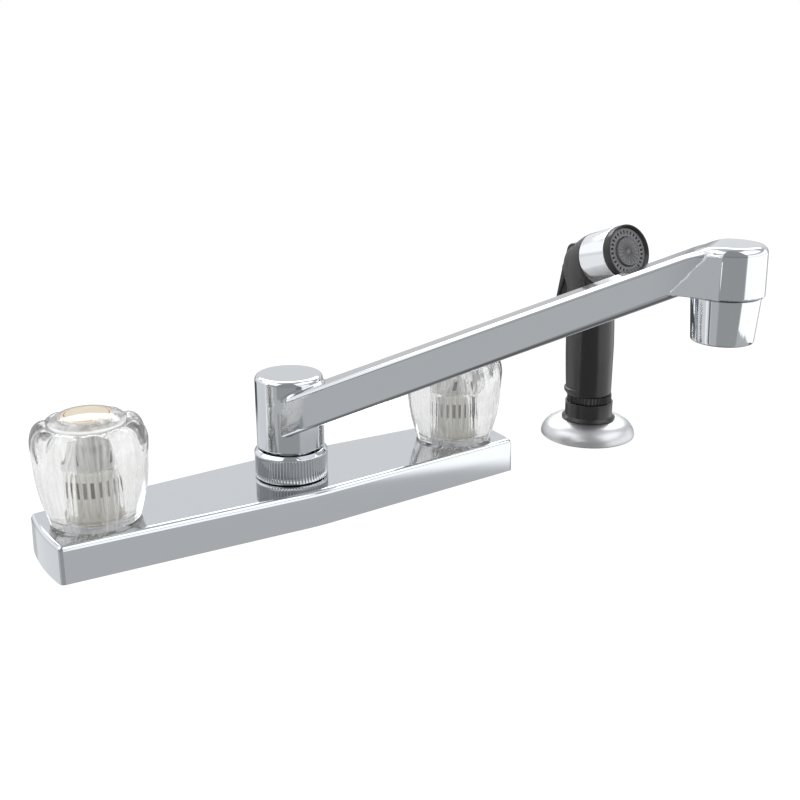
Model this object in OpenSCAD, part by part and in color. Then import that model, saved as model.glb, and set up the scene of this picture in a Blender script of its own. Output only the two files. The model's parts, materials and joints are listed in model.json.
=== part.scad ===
// Two handle kitchen faucet: a chrome deck plate, clear fluted handles, a swinging spout and a side spray.
// Millimetres. The origin is the spout's axis on top of the sink deck. +X runs along the plate to the
// cold side, -Y points at the person at the sink, and +Z is up. What is under the sink deck has z below 0.

/* [Layout] */
// Distance between neighbouring holes of the sink deck
hole_pitch = 101.6; // [96:0.1:112]
// Room under the plate for the sink deck that the nuts clamp
deck_grip = 6; // [5:0.5:20]
// How far the spout is turned from the cold side towards the user
spout_turn = 60; // [30:1:150]

/* [Deck plate] */
// Length of the plate between its bowed ends
plate_len = 256.4; // [250:0.1:290]
// Width of the plate at its ends
plate_end_w = 45.4; // [42:0.1:56]
// Width of the plate at the spout
plate_mid_w = 59; // [48:0.1:76]
// Height of the plate
plate_h = 18.2; // [17:0.1:24]
// Thickness of the plate's walls
plate_wall = 1.8; // [1:0.1:3]
// Radius of the plate's top edge
plate_edge_r = 2.5; // [1:0.1:4]
// Radius of the plate's upright corners
plate_corner_r = 2; // [1:0.1:5]
// How much wider the plate is at its foot than at its top edge, on each side
plate_draft = 0.4; // [0.1:0.1:1]
// Thickness of the gasket under the plate
gasket_t = 2; // [1:0.1:3]

/* [Spout] */
// Reach of the spout from its axis to the outlet's axis
reach = 207; // [150:1:300]
// Radius of the spout's hub
hub_r = 17; // [16:0.1:20]
// Height of the hub's top above the sink deck
hub_top = 71.4; // [66:0.1:90]
// Radius of the hub's top edge
hub_edge_r = 2.5; // [1:0.1:4]
// Wall of the spout
spout_wall = 2; // [1:0.1:3]
// Width of the arm at the hub
arm_w = 32.8; // [28:0.1:34]
// Height of the arm at the hub
arm_h = 20.8; // [16:0.1:24]
// Height of the arm's top at the hub's axis
arm_top = 60.4; // [56:0.1:64]
// Width of the arm at the outlet
arm_tip_w = 25.2; // [20:0.1:28]
// Height of the arm at the outlet
arm_tip_h = 16; // [13:0.1:20]
// How far the arm's top line runs above the head's top at the outlet's axis
arm_tip_rise = 3; // [1:0.1:6]
// Radius of the arm's long edges
arm_edge_r = 2; // [1:0.1:4]
// Radius of the outlet's head
tip_r = 14.9; // [14:0.1:18]
// Height of the outlet head's top above the sink deck
tip_top = 152.4; // [148:0.1:170]
// Height of the outlet's head
tip_h = 20.2; // [16:0.1:26]
// Length of the web that widens the head towards the arm
tip_web = 12; // [6:0.1:20]
// Radius of the tube under the hub that turns in the body
stub_r = 12; // [11:0.1:13]
// Radius of the waterway in that tube
stub_bore_r = 8.5; // [6:0.1:9]
// Depth of the tube below the hub
stub_len = 20.6; // [18:0.1:22]

/* [Spout nut] */
// Outer radius of the knurled nut
nut_r = 18.4; // [17:0.1:22]
// Height of the knurled nut
nut_h = 13.8; // [12:0.1:18]
// Depth of the knurl's grooves
knurl_depth = 0.5; // [0.2:0.1:1]
// Number of the knurl's ribs
knurl_count = 90; // [36:1:110]
// Thickness of the nut's top lip
nut_lip = 1.8; // [1:0.1:3]

/* [Aerator] */
// Radius of the aerator at its top
aerator_r = 13.7; // [13:0.1:14.5]
// Radius of the aerator at its bottom
aerator_foot_r = 12.3; // [11.5:0.1:13.5]
// Visible height of the aerator
aerator_h = 18.6; // [14:0.1:26]
// Radius of the aerator's screw thread
aerator_thread_r = 11.8; // [11.5:0.1:12.2]
// Length of that thread
aerator_thread_len = 8; // [5:0.1:10]
// Radius of the aerator's bore
aerator_bore_r = 10; // [8:0.1:10.5]

/* [Valves] */
// Outer radius of the inlet shank's half inch thread
shank_r = 11.1; // [10.6:0.05:11.4]
// Radius of the shank's free end
tail_r = 10.4; // [9.5:0.1:10.5]
// Radius of the shank's bore
shank_bore_r = 6.5; // [5:0.1:8]
// Length of the shank below the sink deck
shank_len = 57; // [40:1:80]
// Radius of the valve body
valve_r = 13; // [12:0.1:15]
// Radius of the valve body's neck in the plate
neck_r = 10.6; // [10:0.1:11.5]
// Radius of the cartridge in the valve body
cartridge_r = 8.2; // [7.5:0.1:9]
// Radius of the valve stem
stem_r = 5; // [4:0.1:6]
// Radius of the stem's splined end
spline_r = 4; // [3:0.1:4.5]
// Width across the flats of the bonnet nut
bonnet_af = 24; // [23:0.1:25]
// Height of the bonnet nut
bonnet_h = 3.2; // [2.5:0.1:4]

/* [Handles] */
// Largest radius of the handle
handle_r = 26.4; // [24:0.1:32]
// Radius of the handle's foot
handle_foot_r = 20.8; // [18:0.1:24]
// Height of the handle from its foot to the lobes' tops
handle_h = 46.9; // [44:0.1:60]
// Number of lobes round the handle
lobe_count = 10; // [6:1:16]
// Depth of the grooves between the lobes
lobe_depth = 2.6; // [1:0.1:4]
// Radius of the cream core
core_r = 8.4; // [7:0.1:10]
// Radius of the clear cap
cap_r = 17.1; // [15:0.1:18]
// Height of the cap above the handle's seat for it
cap_h = 6.2; // [4:0.1:8]
// Radius of the index button
button_r = 10.9; // [8:0.1:12]

/* [Spray] */
// Radius of the spray's dome flange
flange_r = 28.2; // [24:0.1:34]
// Height of the dome flange
flange_h = 10.8; // [9:0.1:14]
// Radius of the holder's collar
collar_r = 14.3; // [13.8:0.1:16]
// Height of the collar's top above the sink deck
collar_top = 21.6; // [18:0.1:24]
// Radius of the holder's shank
holder_shank_r = 13.5; // [12:0.1:15]
// Length of the holder's shank below the sink deck
holder_shank_len = 45; // [30:1:60]
// Largest radius of the spray's grip
grip_r = 14.7; // [13:0.1:17]
// Length of the spray's grip above the collar
grip_len = 62; // [50:1:75]
// Radius of the spray's head
head_r = 15.3; // [14:0.1:18]
// Height of the middle of the head's face above the sink deck
face_z = 116.4; // [110:0.1:135]
// Distance of the face's middle in front of the grip's axis
face_out = 25.7; // [20:0.1:34]
// Tilt of the head above the level
head_tilt = 18.3; // [0:0.1:30]
// Length of the chrome band round the head
band_len = 20.5; // [12:0.1:24]
// Length of the black rim in front of the band
rim_len = 5; // [3:0.1:8]
// Number of holes round the face
spray_holes = 28; // [12:1:36]
// Number of ribs in the face's middle
face_ribs = 16; // [8:1:24]
// Width of the thumb lever
lever_w = 12; // [10:0.1:18]
// Length of the lever below its pivot
lever_len = 30.5; // [26:0.1:36]
// Distance of the lever's free end behind the grip's axis
lever_back = 28.9; // [26:0.1:34]

/* [Hidden] */

// Fineness of round shapes
$fn = 96;
blend_fn = 32;
plan_fn = 240;
edge_steps = 4;

// Overrun of every cut, the thickness of the slices that hulls join, and the common clearances
over = 0.5;
slice = 0.02;
fit_gap = 0.05;
seat_gap = 0.3;
part_gap = 0.4;

// Heights and sizes that follow from the deck plate
plate_inner_h = plate_h - plate_wall;
plate_hole_gap = 0.4;
valve_x = hole_pitch;
spray_x = 2 * hole_pitch;
gasket_gap = 0.3;

// Cross tubes between the valve bodies and the post
foot_r = 16;
foot_h = 3;
foot_top = gasket_t + foot_h;
tube_r = 4.6;
tube_wall = 0.8;
tube_z = foot_top + tube_r + part_gap;
tube_grip = 2;
port_r = 3.2;

// Valve bodies, from the gasket upwards
neck_rise = 1.6;
neck_top = plate_h + neck_rise;
valve_shoulder = plate_inner_h - gasket_gap;
pocket_rise = 1;
pocket_z = foot_top + pocket_rise;
inlet_r = 2;
inlet_off = 4.6;
spring_h = 1.6;
spring_wall = 0.5;
seat_r = 3;
seat_h = 1.8;
seat_z = pocket_z - seat_h;
spring_z = seat_z - spring_h;
rotor_z = pocket_z + fit_gap;
rotor_h = 2.4;
cartridge_z = tube_z + tube_r + part_gap;
thrust_h = 1.2;
thrust_r = cartridge_r - part_gap;
stem_neck_r = inlet_off - inlet_r - seat_gap;
stem_groove = 0.8;
stem_ring_h = 1.8;
stem_ring_rise = 1;
stem_ring_z = cartridge_z + stem_ring_rise;

// Bonnet nuts
bonnet_z = plate_h + seat_gap;
bonnet_top = bonnet_z + bonnet_h;

// Handles, from the foot upwards
handle_z = plate_h + part_gap + seat_gap;
handle_top = handle_z + handle_h;
cavity_r = bonnet_af / sqrt(3) + part_gap;
cavity_top = bonnet_top + 2 * part_gap;
core_len = 24.4;
core_top = cavity_top + core_len;
spline_len = core_len - 3 * part_gap;
spline_top = cavity_top + spline_len;
screw_r = 2;
screw_head_r = 4;
screw_head_h = 2.8;
screw_len = 10;
slot_w = 1.2;
slot_depth = 1.4;
well_r = 9;
cap_seat_drop = 1.3;
cap_seat_z = handle_top - cap_seat_drop;
cap_rim_h = 1.4;
cap_flat_r = 11.6;
button_t = 1.4;
button_plug_r = well_r;
button_plug_len = 4;
button_rise = 1.8;
button_z = cap_seat_z + button_rise;
lobe_r = 3.4;
lobe_lean = 7;
foot_round = 1.6;

// Spout post and what turns in it
post_r = 17.5;
post_neck_r = 15.6;
nut_z = plate_h + 3 * part_gap;
nut_top = nut_z + nut_h;
nut_bore_r = post_neck_r + fit_gap;
nut_rim_h = 1.6;
nut_rim_r = nut_r + knurl_depth / 5;
hub_z = nut_top + 3 * part_gap;
stub_z = hub_z - stub_len;
snap_r = 14.2;
snap_h = 1.8;
snap_z = nut_top - nut_lip - snap_h - seat_gap / 2;
post_top = snap_z - seat_gap / 2;
diverter_r = 7.4;
diverter_h = 5;
diverter_head_r = 5.2;
diverter_z = foot_top + seat_gap;
diverter_lift = 2;
ring_groove = 1.2;
ring_h = 2.2;
ring_zs = [stub_z + ring_h, stub_z + 3 * ring_h];
nipple_r = 6.6;
nipple_seat_r = nipple_r - part_gap;
nipple_len = 28;
nipple_bore_r = 3.6;

// Clamping parts under the sink deck
under_z = -deck_grip;
washer_r = 19;
washer_t = 1.6;
lock_nut_r = 17;
lock_nut_h = 12;
lock_wing_w = 5;
lock_wing_out = 8;
tail_top = under_z - washer_t - lock_nut_h - 2 * part_gap;

// Outlet
tip_bottom = tip_top - tip_h;
arm_tip_top = tip_top + arm_tip_rise;
tip_edge_r = 3;
tip_taper = 0.5;
tip_wall_h = 6;
screen_t = 0.8;
insert_h = 9;
insert_r = aerator_bore_r;
washer_ring_t = 1.6;
lip_r = 7.6;
lip_h = 2;
insert_hole_r = 0.7;
insert_hole_ring_r = 5.4;
insert_hole_count = 12;

// Spray holder, and the flange's dome from its widest line up as shares of its width and height
holder_bore_r = 10.4;
collar_flare_h = 2.6;
collar_flare = 2;
collar_flare_r = collar_r + collar_flare;
flange_wall = 1.6;
flange_foot_in = 0.8;
dome_out_shares = [1, 0.985, 0.92, 0.8, 0.63, 0.44, 0.24, 0.04];
dome_rise_shares = [0.13, 0.28, 0.47, 0.67, 0.83, 0.93, 0.98, 1];

// Spray grip and head
grip_z = collar_top + seat_gap;
ring_r = 13.3;
spray_ring_h = 4.2;
spray_ring_teeth = 40;
spray_ring_depth = 0.6;
grip_foot_z = grip_z + spray_ring_h;
grip_foot_r = 14.2;
grip_rise_share = 0.06;
grip_low_share = 0.35;
grip_end_share = 1.02;
grip_top_r = 13.8;
grip_step = 0.2;
grip_lean = 3;
band_wall = 2;
head_core_r = head_r - band_wall;
head_back_len = 12;
head_back_r = 12.4;
rim_wall = 1.8;
face_r = head_r - rim_wall;
face_sink = 1.8;
face_t = rim_len - face_sink;
face_hole_r = 0.75;
face_hole_ring_r = 10.6;
face_core_r = 8;
face_core_t = 1.6;
rib_w = 0.7;
rib_h = 0.8;
head_bore_r = 9;
coupling_r = 9.6;
coupling_len = 16;
coupling_bore_r = 4.5;
grip_bore_r = 5;
coupling_thread_r = 7.5;
coupling_thread_len = 9;
lever_pivot_y = 12;
lever_pivot_drop = 8.4;
lever_pivot_z = face_z - lever_pivot_drop;
lever_eye_r = 4;
lever_head_r = 5.7;
lever_head_out = 2.8;
lever_head_rise = 1.6;
lever_bend_r = 2.6;
lever_bend_out = 9.1;
lever_bend_drop = 8;
lever_tip_r = 1.2;
lever_slot_w = lever_w + 2 * part_gap;
pin_r = 1.25;
pin_len = 22;
plunger_drop = 11;
plunger_z = lever_pivot_z - plunger_drop;
plunger_r = 2.2;
plunger_in = 4;
plunger_travel = 2.2;
plunger_out = lever_pivot_y + lever_bend_out - lever_bend_r - 3 * part_gap;
slot_z = plunger_z - 3 * plunger_r;
spring_r = 3.6;
plunger_spring_len = 6;
spring_coil_wall = 0.5;

// Upright ring between two heights
module ring(z0, z1, outer, inner) {
    translate([0, 0, z0])
        difference() {
            cylinder(h = z1 - z0, r = outer);
            translate([0, 0, -over]) cylinder(h = z1 - z0 + 2 * over, r = inner);
        }
}

// Upright rod between two heights
module rod(z0, z1, r) {
    translate([0, 0, z0]) cylinder(h = z1 - z0, r = r);
}

// Plan of the deck plate: a long hexagon whose ends bow out on a circle round the spout
module plate_plan(inset) {
    half = plate_len / 2;
    offset(r = plate_corner_r, $fn = blend_fn)
        offset(delta = -plate_corner_r - inset)
            intersection() {
                polygon([[-half, -plate_end_w / 2], [0, -plate_mid_w / 2], [half, -plate_end_w / 2],
                         [half, plate_end_w / 2], [0, plate_mid_w / 2], [-half, plate_end_w / 2]]);
                circle(r = half, $fn = plan_fn);
            }
}

module deck_plate() {
    color("silver")
        difference() {
            hull() {
                linear_extrude(slice) plate_plan(0);
                for (i = [0 : edge_steps]) {
                    a = 90 * i / edge_steps;
                    translate([0, 0, plate_h - plate_edge_r - slice + plate_edge_r * sin(a)])
                        linear_extrude(slice) plate_plan(plate_draft + plate_edge_r * (1 - cos(a)));
                }
            }
            translate([0, 0, -over])
                linear_extrude(plate_inner_h + over) plate_plan(plate_draft + plate_wall);
            for (x = [-valve_x, valve_x])
                translate([x, 0, 0]) cylinder(h = plate_h + over, r = neck_r + plate_hole_gap);
            cylinder(h = plate_h + over, r = post_neck_r + plate_hole_gap);
        }
}

module deck_gasket() {
    color("dimgray")
        difference() {
            linear_extrude(gasket_t) plate_plan(plate_draft + plate_wall + gasket_gap);
            for (x = [-valve_x, valve_x])
                translate([x, 0, -over]) cylinder(h = gasket_t + 2 * over, r = shank_r + plate_hole_gap);
            translate([0, 0, -over]) cylinder(h = gasket_t + 2 * over, r = nipple_r + plate_hole_gap);
        }
}

// Valve body at x, with its cross tube's socket on the side that faces the spout
module valve_body(x) {
    color("goldenrod")
        translate([x, 0, 0])
            difference() {
                union() {
                    rod(-shank_len, tail_top, tail_r);
                    rod(tail_top, gasket_t, shank_r);
                    rod(gasket_t, foot_top, foot_r);
                    rod(foot_top, valve_shoulder, valve_r);
                    rod(valve_shoulder, neck_top, neck_r);
                }
                rod(-shank_len - over, 0, shank_bore_r);
                translate([0, -inlet_off, 0]) rod(-over, spring_z + over, inlet_r);
                translate([0, -inlet_off, 0]) rod(spring_z, pocket_z + over, seat_r);
                rod(pocket_z, neck_top + over, cartridge_r + fit_gap);
                translate([0, 0, tube_z])
                    rotate([0, x < 0 ? 90 : -90, 0]) cylinder(h = valve_r + over, r = port_r);
                translate([x < 0 ? valve_r - tube_grip : tube_grip - valve_r, 0, tube_z])
                    rotate([0, x < 0 ? 90 : -90, 0]) cylinder(h = foot_r, r = tube_r);
            }
}

module hot_valve_body() { valve_body(-valve_x); }
module cold_valve_body() { valve_body(valve_x); }

module spout_post() {
    color("goldenrod")
        difference() {
            union() {
                rod(gasket_t, valve_shoulder, post_r);
                rod(valve_shoulder, post_top, post_neck_r);
            }
            rod(gasket_t - over, foot_top + over, nipple_seat_r);
            rod(foot_top, stub_z, diverter_r + part_gap);
            rod(stub_z - part_gap, post_top + over, stub_r + fit_gap);
            for (side = [-1, 1]) {
                translate([0, 0, tube_z])
                    rotate([0, 90 * side, 0]) cylinder(h = post_r + over, r = port_r);
                translate([side * (post_r - tube_grip), 0, tube_z])
                    rotate([0, 90 * side, 0]) cylinder(h = post_r, r = tube_r);
            }
        }
}

module cross_tubes() {
    start = post_r - tube_grip;
    length = valve_x - valve_r + tube_grip - start;
    color("peru")
        for (side = [-1, 1])
            translate([side * start, 0, tube_z])
                rotate([0, 90 * side, 0])
                    difference() {
                        cylinder(h = length, r = tube_r);
                        translate([0, 0, -over]) cylinder(h = length + 2 * over, r = tube_r - tube_wall);
                    }
}

module bonnet_nut(x) {
    color("goldenrod")
        translate([x, 0, 0])
            difference() {
                translate([0, 0, bonnet_z]) cylinder(h = bonnet_h, r = bonnet_af / sqrt(3), $fn = 6);
                rod(bonnet_z - over, neck_top + fit_gap, neck_r);
                rod(bonnet_z, bonnet_top + over, stem_r + part_gap);
            }
}

module hot_bonnet_nut() { bonnet_nut(-valve_x); }
module cold_bonnet_nut() { bonnet_nut(valve_x); }

module cartridge(x) {
    color("white")
        translate([x, 0, 0]) ring(cartridge_z, neck_top, cartridge_r, stem_r + fit_gap);
}

module hot_cartridge() { cartridge(-valve_x); }
module cold_cartridge() { cartridge(valve_x); }

module seat_springs() {
    color("gray")
        for (x = [-valve_x, valve_x])
            translate([x, -inlet_off, 0]) ring(spring_z, seat_z, seat_r, seat_r - spring_wall);
}

module valve_seats() {
    color("black")
        for (x = [-valve_x, valve_x])
            translate([x, -inlet_off, 0]) ring(seat_z, pocket_z, seat_r, inlet_r);
}

module hose_nipple() {
    color("goldenrod") {
        ring(-nipple_len, 0, nipple_r, nipple_bore_r);
        ring(0, foot_top, nipple_seat_r, nipple_bore_r);
    }
}

module shank_washers() {
    color("gray")
        for (x = [-valve_x, valve_x])
            translate([x, 0, 0]) ring(under_z - washer_t, under_z, washer_r, shank_r);
}

// Lock nut with two wings, hung from height top on a shank
module lock_nut(top, bore, barrel) {
    difference() {
        union() {
            rod(top - lock_nut_h, top, barrel);
            translate([-barrel - lock_wing_out, -lock_wing_w / 2, top - lock_nut_h])
                cube([2 * (barrel + lock_wing_out), lock_wing_w, lock_nut_h]);
        }
        rod(top - lock_nut_h - over, top + over, bore);
    }
}

module shank_nuts() {
    color("white")
        for (x = [-valve_x, valve_x])
            translate([x, 0, 0]) lock_nut(under_z - washer_t, shank_r, lock_nut_r);
}

// Outline of the knurl: one point on each rib and one in each groove
module knurl(outer, depth, count) {
    polygon([for (i = [0 : 2 * count - 1])
        let (a = 180 * i / count, r = outer - (i % 2) * depth) [r * cos(a), r * sin(a)]]);
}

module spout_nut() {
    color("silver")
        difference() {
            union() {
                translate([0, 0, nut_z])
                    linear_extrude(nut_h - nut_rim_h) knurl(nut_r, knurl_depth, knurl_count);
                translate([0, 0, nut_top - nut_rim_h])
                    cylinder(h = nut_rim_h, r1 = nut_rim_r, r2 = nut_rim_r - nut_rim_h);
            }
            rod(nut_z - over, nut_top - nut_lip, nut_bore_r);
            rod(nut_z, nut_top + over, stub_r + part_gap);
        }
}

module diverter() {
    color("white")
        difference() {
            union() {
                rod(diverter_z, diverter_z + diverter_h, diverter_r);
                rod(diverter_z, diverter_z + diverter_h + diverter_lift, diverter_head_r);
            }
            rod(diverter_z - over, diverter_z + diverter_h, nipple_bore_r);
        }
}

// Cross-section of the arm, drawn upright at distance u along it: width w, top at z, height h
module arm_section(u, w, z, h, edge) {
    translate([u, 0, z - h / 2])
        rotate([90, 0, 90])
            linear_extrude(slice)
                hull()
                    for (sx = [-1, 1], sy = [-1, 1])
                        translate([sx * (w / 2 - edge), sy * (h / 2 - edge)])
                            circle(r = edge, $fn = blend_fn);
}

module outlet_head() {
    rotate_extrude()
        polygon(concat([[0, tip_bottom], [tip_r, tip_bottom]],
            [for (i = [0 : edge_steps * 2])
                let (a = 90 * i / (edge_steps * 2))
                    [tip_r - tip_taper - tip_edge_r * (1 - cos(a)), tip_top - tip_edge_r * (1 - sin(a))]],
            [[0, tip_top]]));
}

// Web on each side that joins the outlet's head to the arm
module outlet_web() {
    hull() {
        translate([reach, 0, tip_bottom]) cylinder(h = tip_wall_h, r1 = tip_r, r2 = tip_r - tip_taper);
        translate([reach, 0, tip_bottom]) cylinder(h = tip_h - tip_edge_r, r = tip_r - tip_taper);
        translate([reach - tip_r - tip_web, -arm_tip_w / 2, tip_bottom])
            cube([slice, arm_tip_w, arm_edge_r]);
    }
}

// Where the arm's hollow starts and ends, as shares of the reach
arm_hollow_shares = [0.03, 0.97];

// Width, top and height of the arm at a share of its length
function arm_w_at(s) = arm_w + (arm_tip_w - arm_w) * s;
function arm_top_at(s) = arm_top + (arm_tip_top - arm_top) * s;
function arm_h_at(s) = arm_h + (arm_tip_h - arm_h) * s;

module spout() {
    color("silver")
        rotate([0, 0, -spout_turn])
            difference() {
                union() {
                    rotate_extrude()
                        polygon(concat([[0, stub_z], [stub_r, stub_z], [stub_r, hub_z], [hub_r, hub_z]],
                            [for (i = [0 : edge_steps * 2])
                                let (a = 90 * i / (edge_steps * 2))
                                    [hub_r - hub_edge_r * (1 - cos(a)),
                                     hub_top - hub_edge_r * (1 - sin(a))]],
                            [[0, hub_top]]));
                    intersection() {
                        hull() {
                            arm_section(0, arm_w, arm_top, arm_h, arm_edge_r);
                            arm_section(reach - slice, arm_tip_w, arm_tip_top, arm_tip_h, arm_edge_r);
                        }
                        translate([0, -arm_w, hub_z]) cube([reach, 2 * arm_w, tip_top - hub_z]);
                    }
                    translate([reach, 0, 0]) outlet_head();
                    outlet_web();
                }
                rod(stub_z - over, arm_top - arm_h / 2, stub_bore_r);
                hull()
                    for (s = arm_hollow_shares)
                        arm_section(reach * s,
                            arm_w_at(s) - 2 * (hub_r - stub_bore_r) * (1 - s) - 2 * spout_wall * s,
                            arm_top_at(s) - spout_wall, arm_h_at(s) - 2 * spout_wall, arm_edge_r / 2);
                translate([reach, 0, 0]) rod(tip_bottom - over, tip_bottom + aerator_thread_len + over,
                    aerator_thread_r);
                translate([reach, 0, 0]) rod(tip_bottom, tip_top - tip_edge_r - spout_wall, aerator_bore_r);
                for (z = ring_zs) ring(z, z + ring_h, stub_r + over, stub_r - ring_groove);
                ring(snap_z, snap_z + snap_h, stub_r + over, stub_r - ring_groove);
            }
}

module spout_o_rings() {
    color("black")
        for (z = ring_zs) ring(z, z + ring_h, stub_r, stub_r - ring_groove);
}

module spout_snap_ring() {
    color("white") ring(snap_z, snap_z + snap_h, snap_r, stub_r - ring_groove);
}

// Moves a piece to the outlet's axis
module at_outlet() {
    rotate([0, 0, -spout_turn]) translate([reach, 0, 0]) children();
}

aerator_top = tip_bottom - part_gap;
aerator_foot = aerator_top - aerator_h;

module aerator_housing() {
    thread_top = tip_bottom + aerator_thread_len;
    color("silver")
        at_outlet()
            difference() {
                union() {
                    translate([0, 0, aerator_foot])
                        cylinder(h = aerator_h, r1 = aerator_foot_r, r2 = aerator_r);
                    rod(aerator_top, thread_top, aerator_thread_r);
                }
                rod(aerator_foot + lip_h, thread_top + over, aerator_bore_r);
                rod(aerator_foot - over, thread_top, lip_r);
            }
}

module aerator_screen() {
    z = aerator_foot + lip_h;
    color("gray")
        at_outlet()
            difference() {
                rod(z, z + screen_t, insert_r);
                for (x = [-2 : 2], y = [-2 : 2])
                    translate([x * insert_hole_r * 3, y * insert_hole_r * 3, 0])
                        rod(z - over, z + screen_t + over, insert_hole_r);
            }
}

module aerator_insert() {
    z = aerator_foot + lip_h + screen_t;
    color("white")
        at_outlet()
            difference() {
                rod(z, z + insert_h, insert_r);
                for (i = [0 : insert_hole_count - 1])
                    rotate([0, 0, 360 * i / insert_hole_count]) translate([insert_hole_ring_r, 0, 0])
                        rod(z - over, z + insert_h + over, insert_hole_r);
            }
}

module aerator_washer() {
    z = tip_bottom + aerator_thread_len;
    color("black") at_outlet() ring(z - washer_ring_t + over, z + over, aerator_bore_r, lip_r);
}

// Outline of the handle: narrow foot, widest at the shoulder, then in to the seat of the cap
handle_rise_shares = [0.06, 0.3, 0.55, 0.81, 0.908, 0.951, 0.989, 1];
handle_swell_shares = [0.25, 0.72, 0.92, 1, 0.93, 0.66, 0.21, -0.14];

module handle(x) {
    color("whitesmoke", 0.5)
        translate([x, 0, 0])
            difference() {
                rotate_extrude()
                    polygon(concat(
                        [[0, handle_z], [handle_foot_r - foot_round, handle_z],
                         [handle_foot_r, handle_z + foot_round]],
                        [for (i = [0 : len(handle_rise_shares) - 1])
                            [handle_foot_r + (handle_r - handle_foot_r) * handle_swell_shares[i],
                             handle_z + handle_h * handle_rise_shares[i]]],
                        [[cap_r + part_gap, handle_top], [cap_r + part_gap, cap_seat_z],
                         [0, cap_seat_z]]));
                for (i = [0 : lobe_count - 1])
                    rotate([0, 0, 360 * (i + 0.5) / lobe_count])
                        translate([handle_r + lobe_r - lobe_depth, 0, handle_z + handle_h])
                            rotate([0, lobe_lean, 0])
                                translate([0, 0, -2 * handle_h]) cylinder(h = 3 * handle_h, r = lobe_r);
                rod(handle_z - over, cavity_top, cavity_r);
                rod(cavity_top - over, core_top, core_r);
                rod(core_top, cap_seat_z + over, well_r);
            }
}

module hot_handle() { handle(-valve_x); }
module cold_handle() { handle(valve_x); }

module handle_core(x) {
    color("ivory")
        translate([x, 0, 0])
            difference() {
                rod(cavity_top, core_top, core_r);
                rod(cavity_top - over, spline_top, spline_r);
                rod(spline_top - over, core_top + over, screw_r);
            }
}

module hot_core() { handle_core(-valve_x); }
module cold_core() { handle_core(valve_x); }

module handle_screw(x) {
    color("gray")
        translate([x, 0, 0])
            difference() {
                union() {
                    rod(core_top - screw_len, core_top, screw_r);
                    rod(core_top, core_top + screw_head_h, screw_head_r);
                }
                translate([-screw_head_r, -slot_w / 2, core_top + screw_head_h - slot_depth])
                    cube([2 * screw_head_r, slot_w, slot_depth + over]);
            }
}

module hot_screw() { handle_screw(-valve_x); }
module cold_screw() { handle_screw(valve_x); }

module handle_cap(x) {
    color("white", 0.4)
        translate([x, 0, 0])
            difference() {
                rotate_extrude()
                    polygon([[0, cap_seat_z], [cap_r, cap_seat_z], [cap_r, cap_seat_z + cap_rim_h],
                        [(cap_r + cap_flat_r) / 2, cap_seat_z + (cap_rim_h + cap_h) / 2 + part_gap],
                        [cap_flat_r, cap_seat_z + cap_h], [0, cap_seat_z + cap_h]]);
                rod(cap_seat_z - over, button_z + button_t, button_r);
            }
}

module hot_cap() { handle_cap(-valve_x); }
module cold_cap() { handle_cap(valve_x); }

module handle_button(x) {
    color("wheat")
        translate([x, 0, 0]) {
            rod(button_z, button_z + button_t, button_r);
            rod(cap_seat_z - button_plug_len, button_z, button_plug_r);
        }
}

module hot_button() { handle_button(-valve_x); }
module cold_button() { handle_button(valve_x); }

module stem(x) {
    color("goldenrod")
        translate([x, 0, 0])
            difference() {
                union() {
                    rod(rotor_z, rotor_z + rotor_h, cartridge_r);
                    rod(rotor_z, cartridge_z, stem_neck_r);
                    rod(cartridge_z - fit_gap - thrust_h, cartridge_z - fit_gap, thrust_r);
                    rod(cartridge_z - thrust_h, cavity_top, stem_r);
                    rod(cavity_top, spline_top, spline_r);
                }
                ring(stem_ring_z, stem_ring_z + stem_ring_h, stem_r + over, stem_r - stem_groove);
                rod(core_top - screw_len, spline_top + over, screw_r);
                translate([x < 0 ? -inlet_off : inlet_off, 0, 0])
                    rod(rotor_z - over, rotor_z + rotor_h + over, inlet_r);
            }
}

module hot_stem() { stem(-valve_x); }
module cold_stem() { stem(valve_x); }

module stem_o_ring(x) {
    color("black")
        translate([x, 0, 0]) ring(stem_ring_z, stem_ring_z + stem_ring_h, stem_r, stem_r - stem_groove);
}

module hot_stem_o_ring() { stem_o_ring(-valve_x); }
module cold_stem_o_ring() { stem_o_ring(valve_x); }

// A point of the flange's dome, inset from its outer surface
function dome_point(i, inset) = [
    holder_shank_r + (flange_r - inset - holder_shank_r) * dome_out_shares[i],
    (flange_h - inset) * dome_rise_shares[i]
];

module spray_flange() {
    last = len(dome_out_shares) - 1;
    color("lightgray")
        translate([spray_x, 0, 0])
            rotate_extrude()
                polygon(concat([[flange_r - flange_foot_in, 0]],
                    [for (i = [0 : last]) dome_point(i, 0)],
                    [[holder_shank_r, flange_h], [holder_shank_r, flange_h - flange_wall]],
                    [for (i = [last : -1 : 0]) dome_point(i, flange_wall)],
                    [[flange_r - flange_foot_in - flange_wall, 0]]));
}

module spray_holder() {
    color("black")
        translate([spray_x, 0, 0])
            difference() {
                union() {
                    rod(-holder_shank_len, flange_h, holder_shank_r);
                    rod(flange_h, collar_top, collar_r);
                    translate([0, 0, flange_h])
                        cylinder(h = collar_flare_h, r1 = collar_flare_r, r2 = collar_r);
                }
                rod(-holder_shank_len - over, collar_top + over, holder_bore_r);
            }
}

module holder_washer() {
    color("gray")
        translate([spray_x, 0, 0])
            ring(under_z - washer_t, under_z, washer_r + washer_t, holder_shank_r);
}

module holder_nut() {
    color("black")
        translate([spray_x, 0, 0])
            lock_nut(under_z - washer_t, holder_shank_r, lock_nut_r + washer_t);
}

// Moves a piece made along +Z from the middle of the head's face to its place, with +Z into the head
module at_face() {
    translate([spray_x, -face_out, face_z]) rotate([-90 - head_tilt, 0, 0]) children();
}

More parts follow.
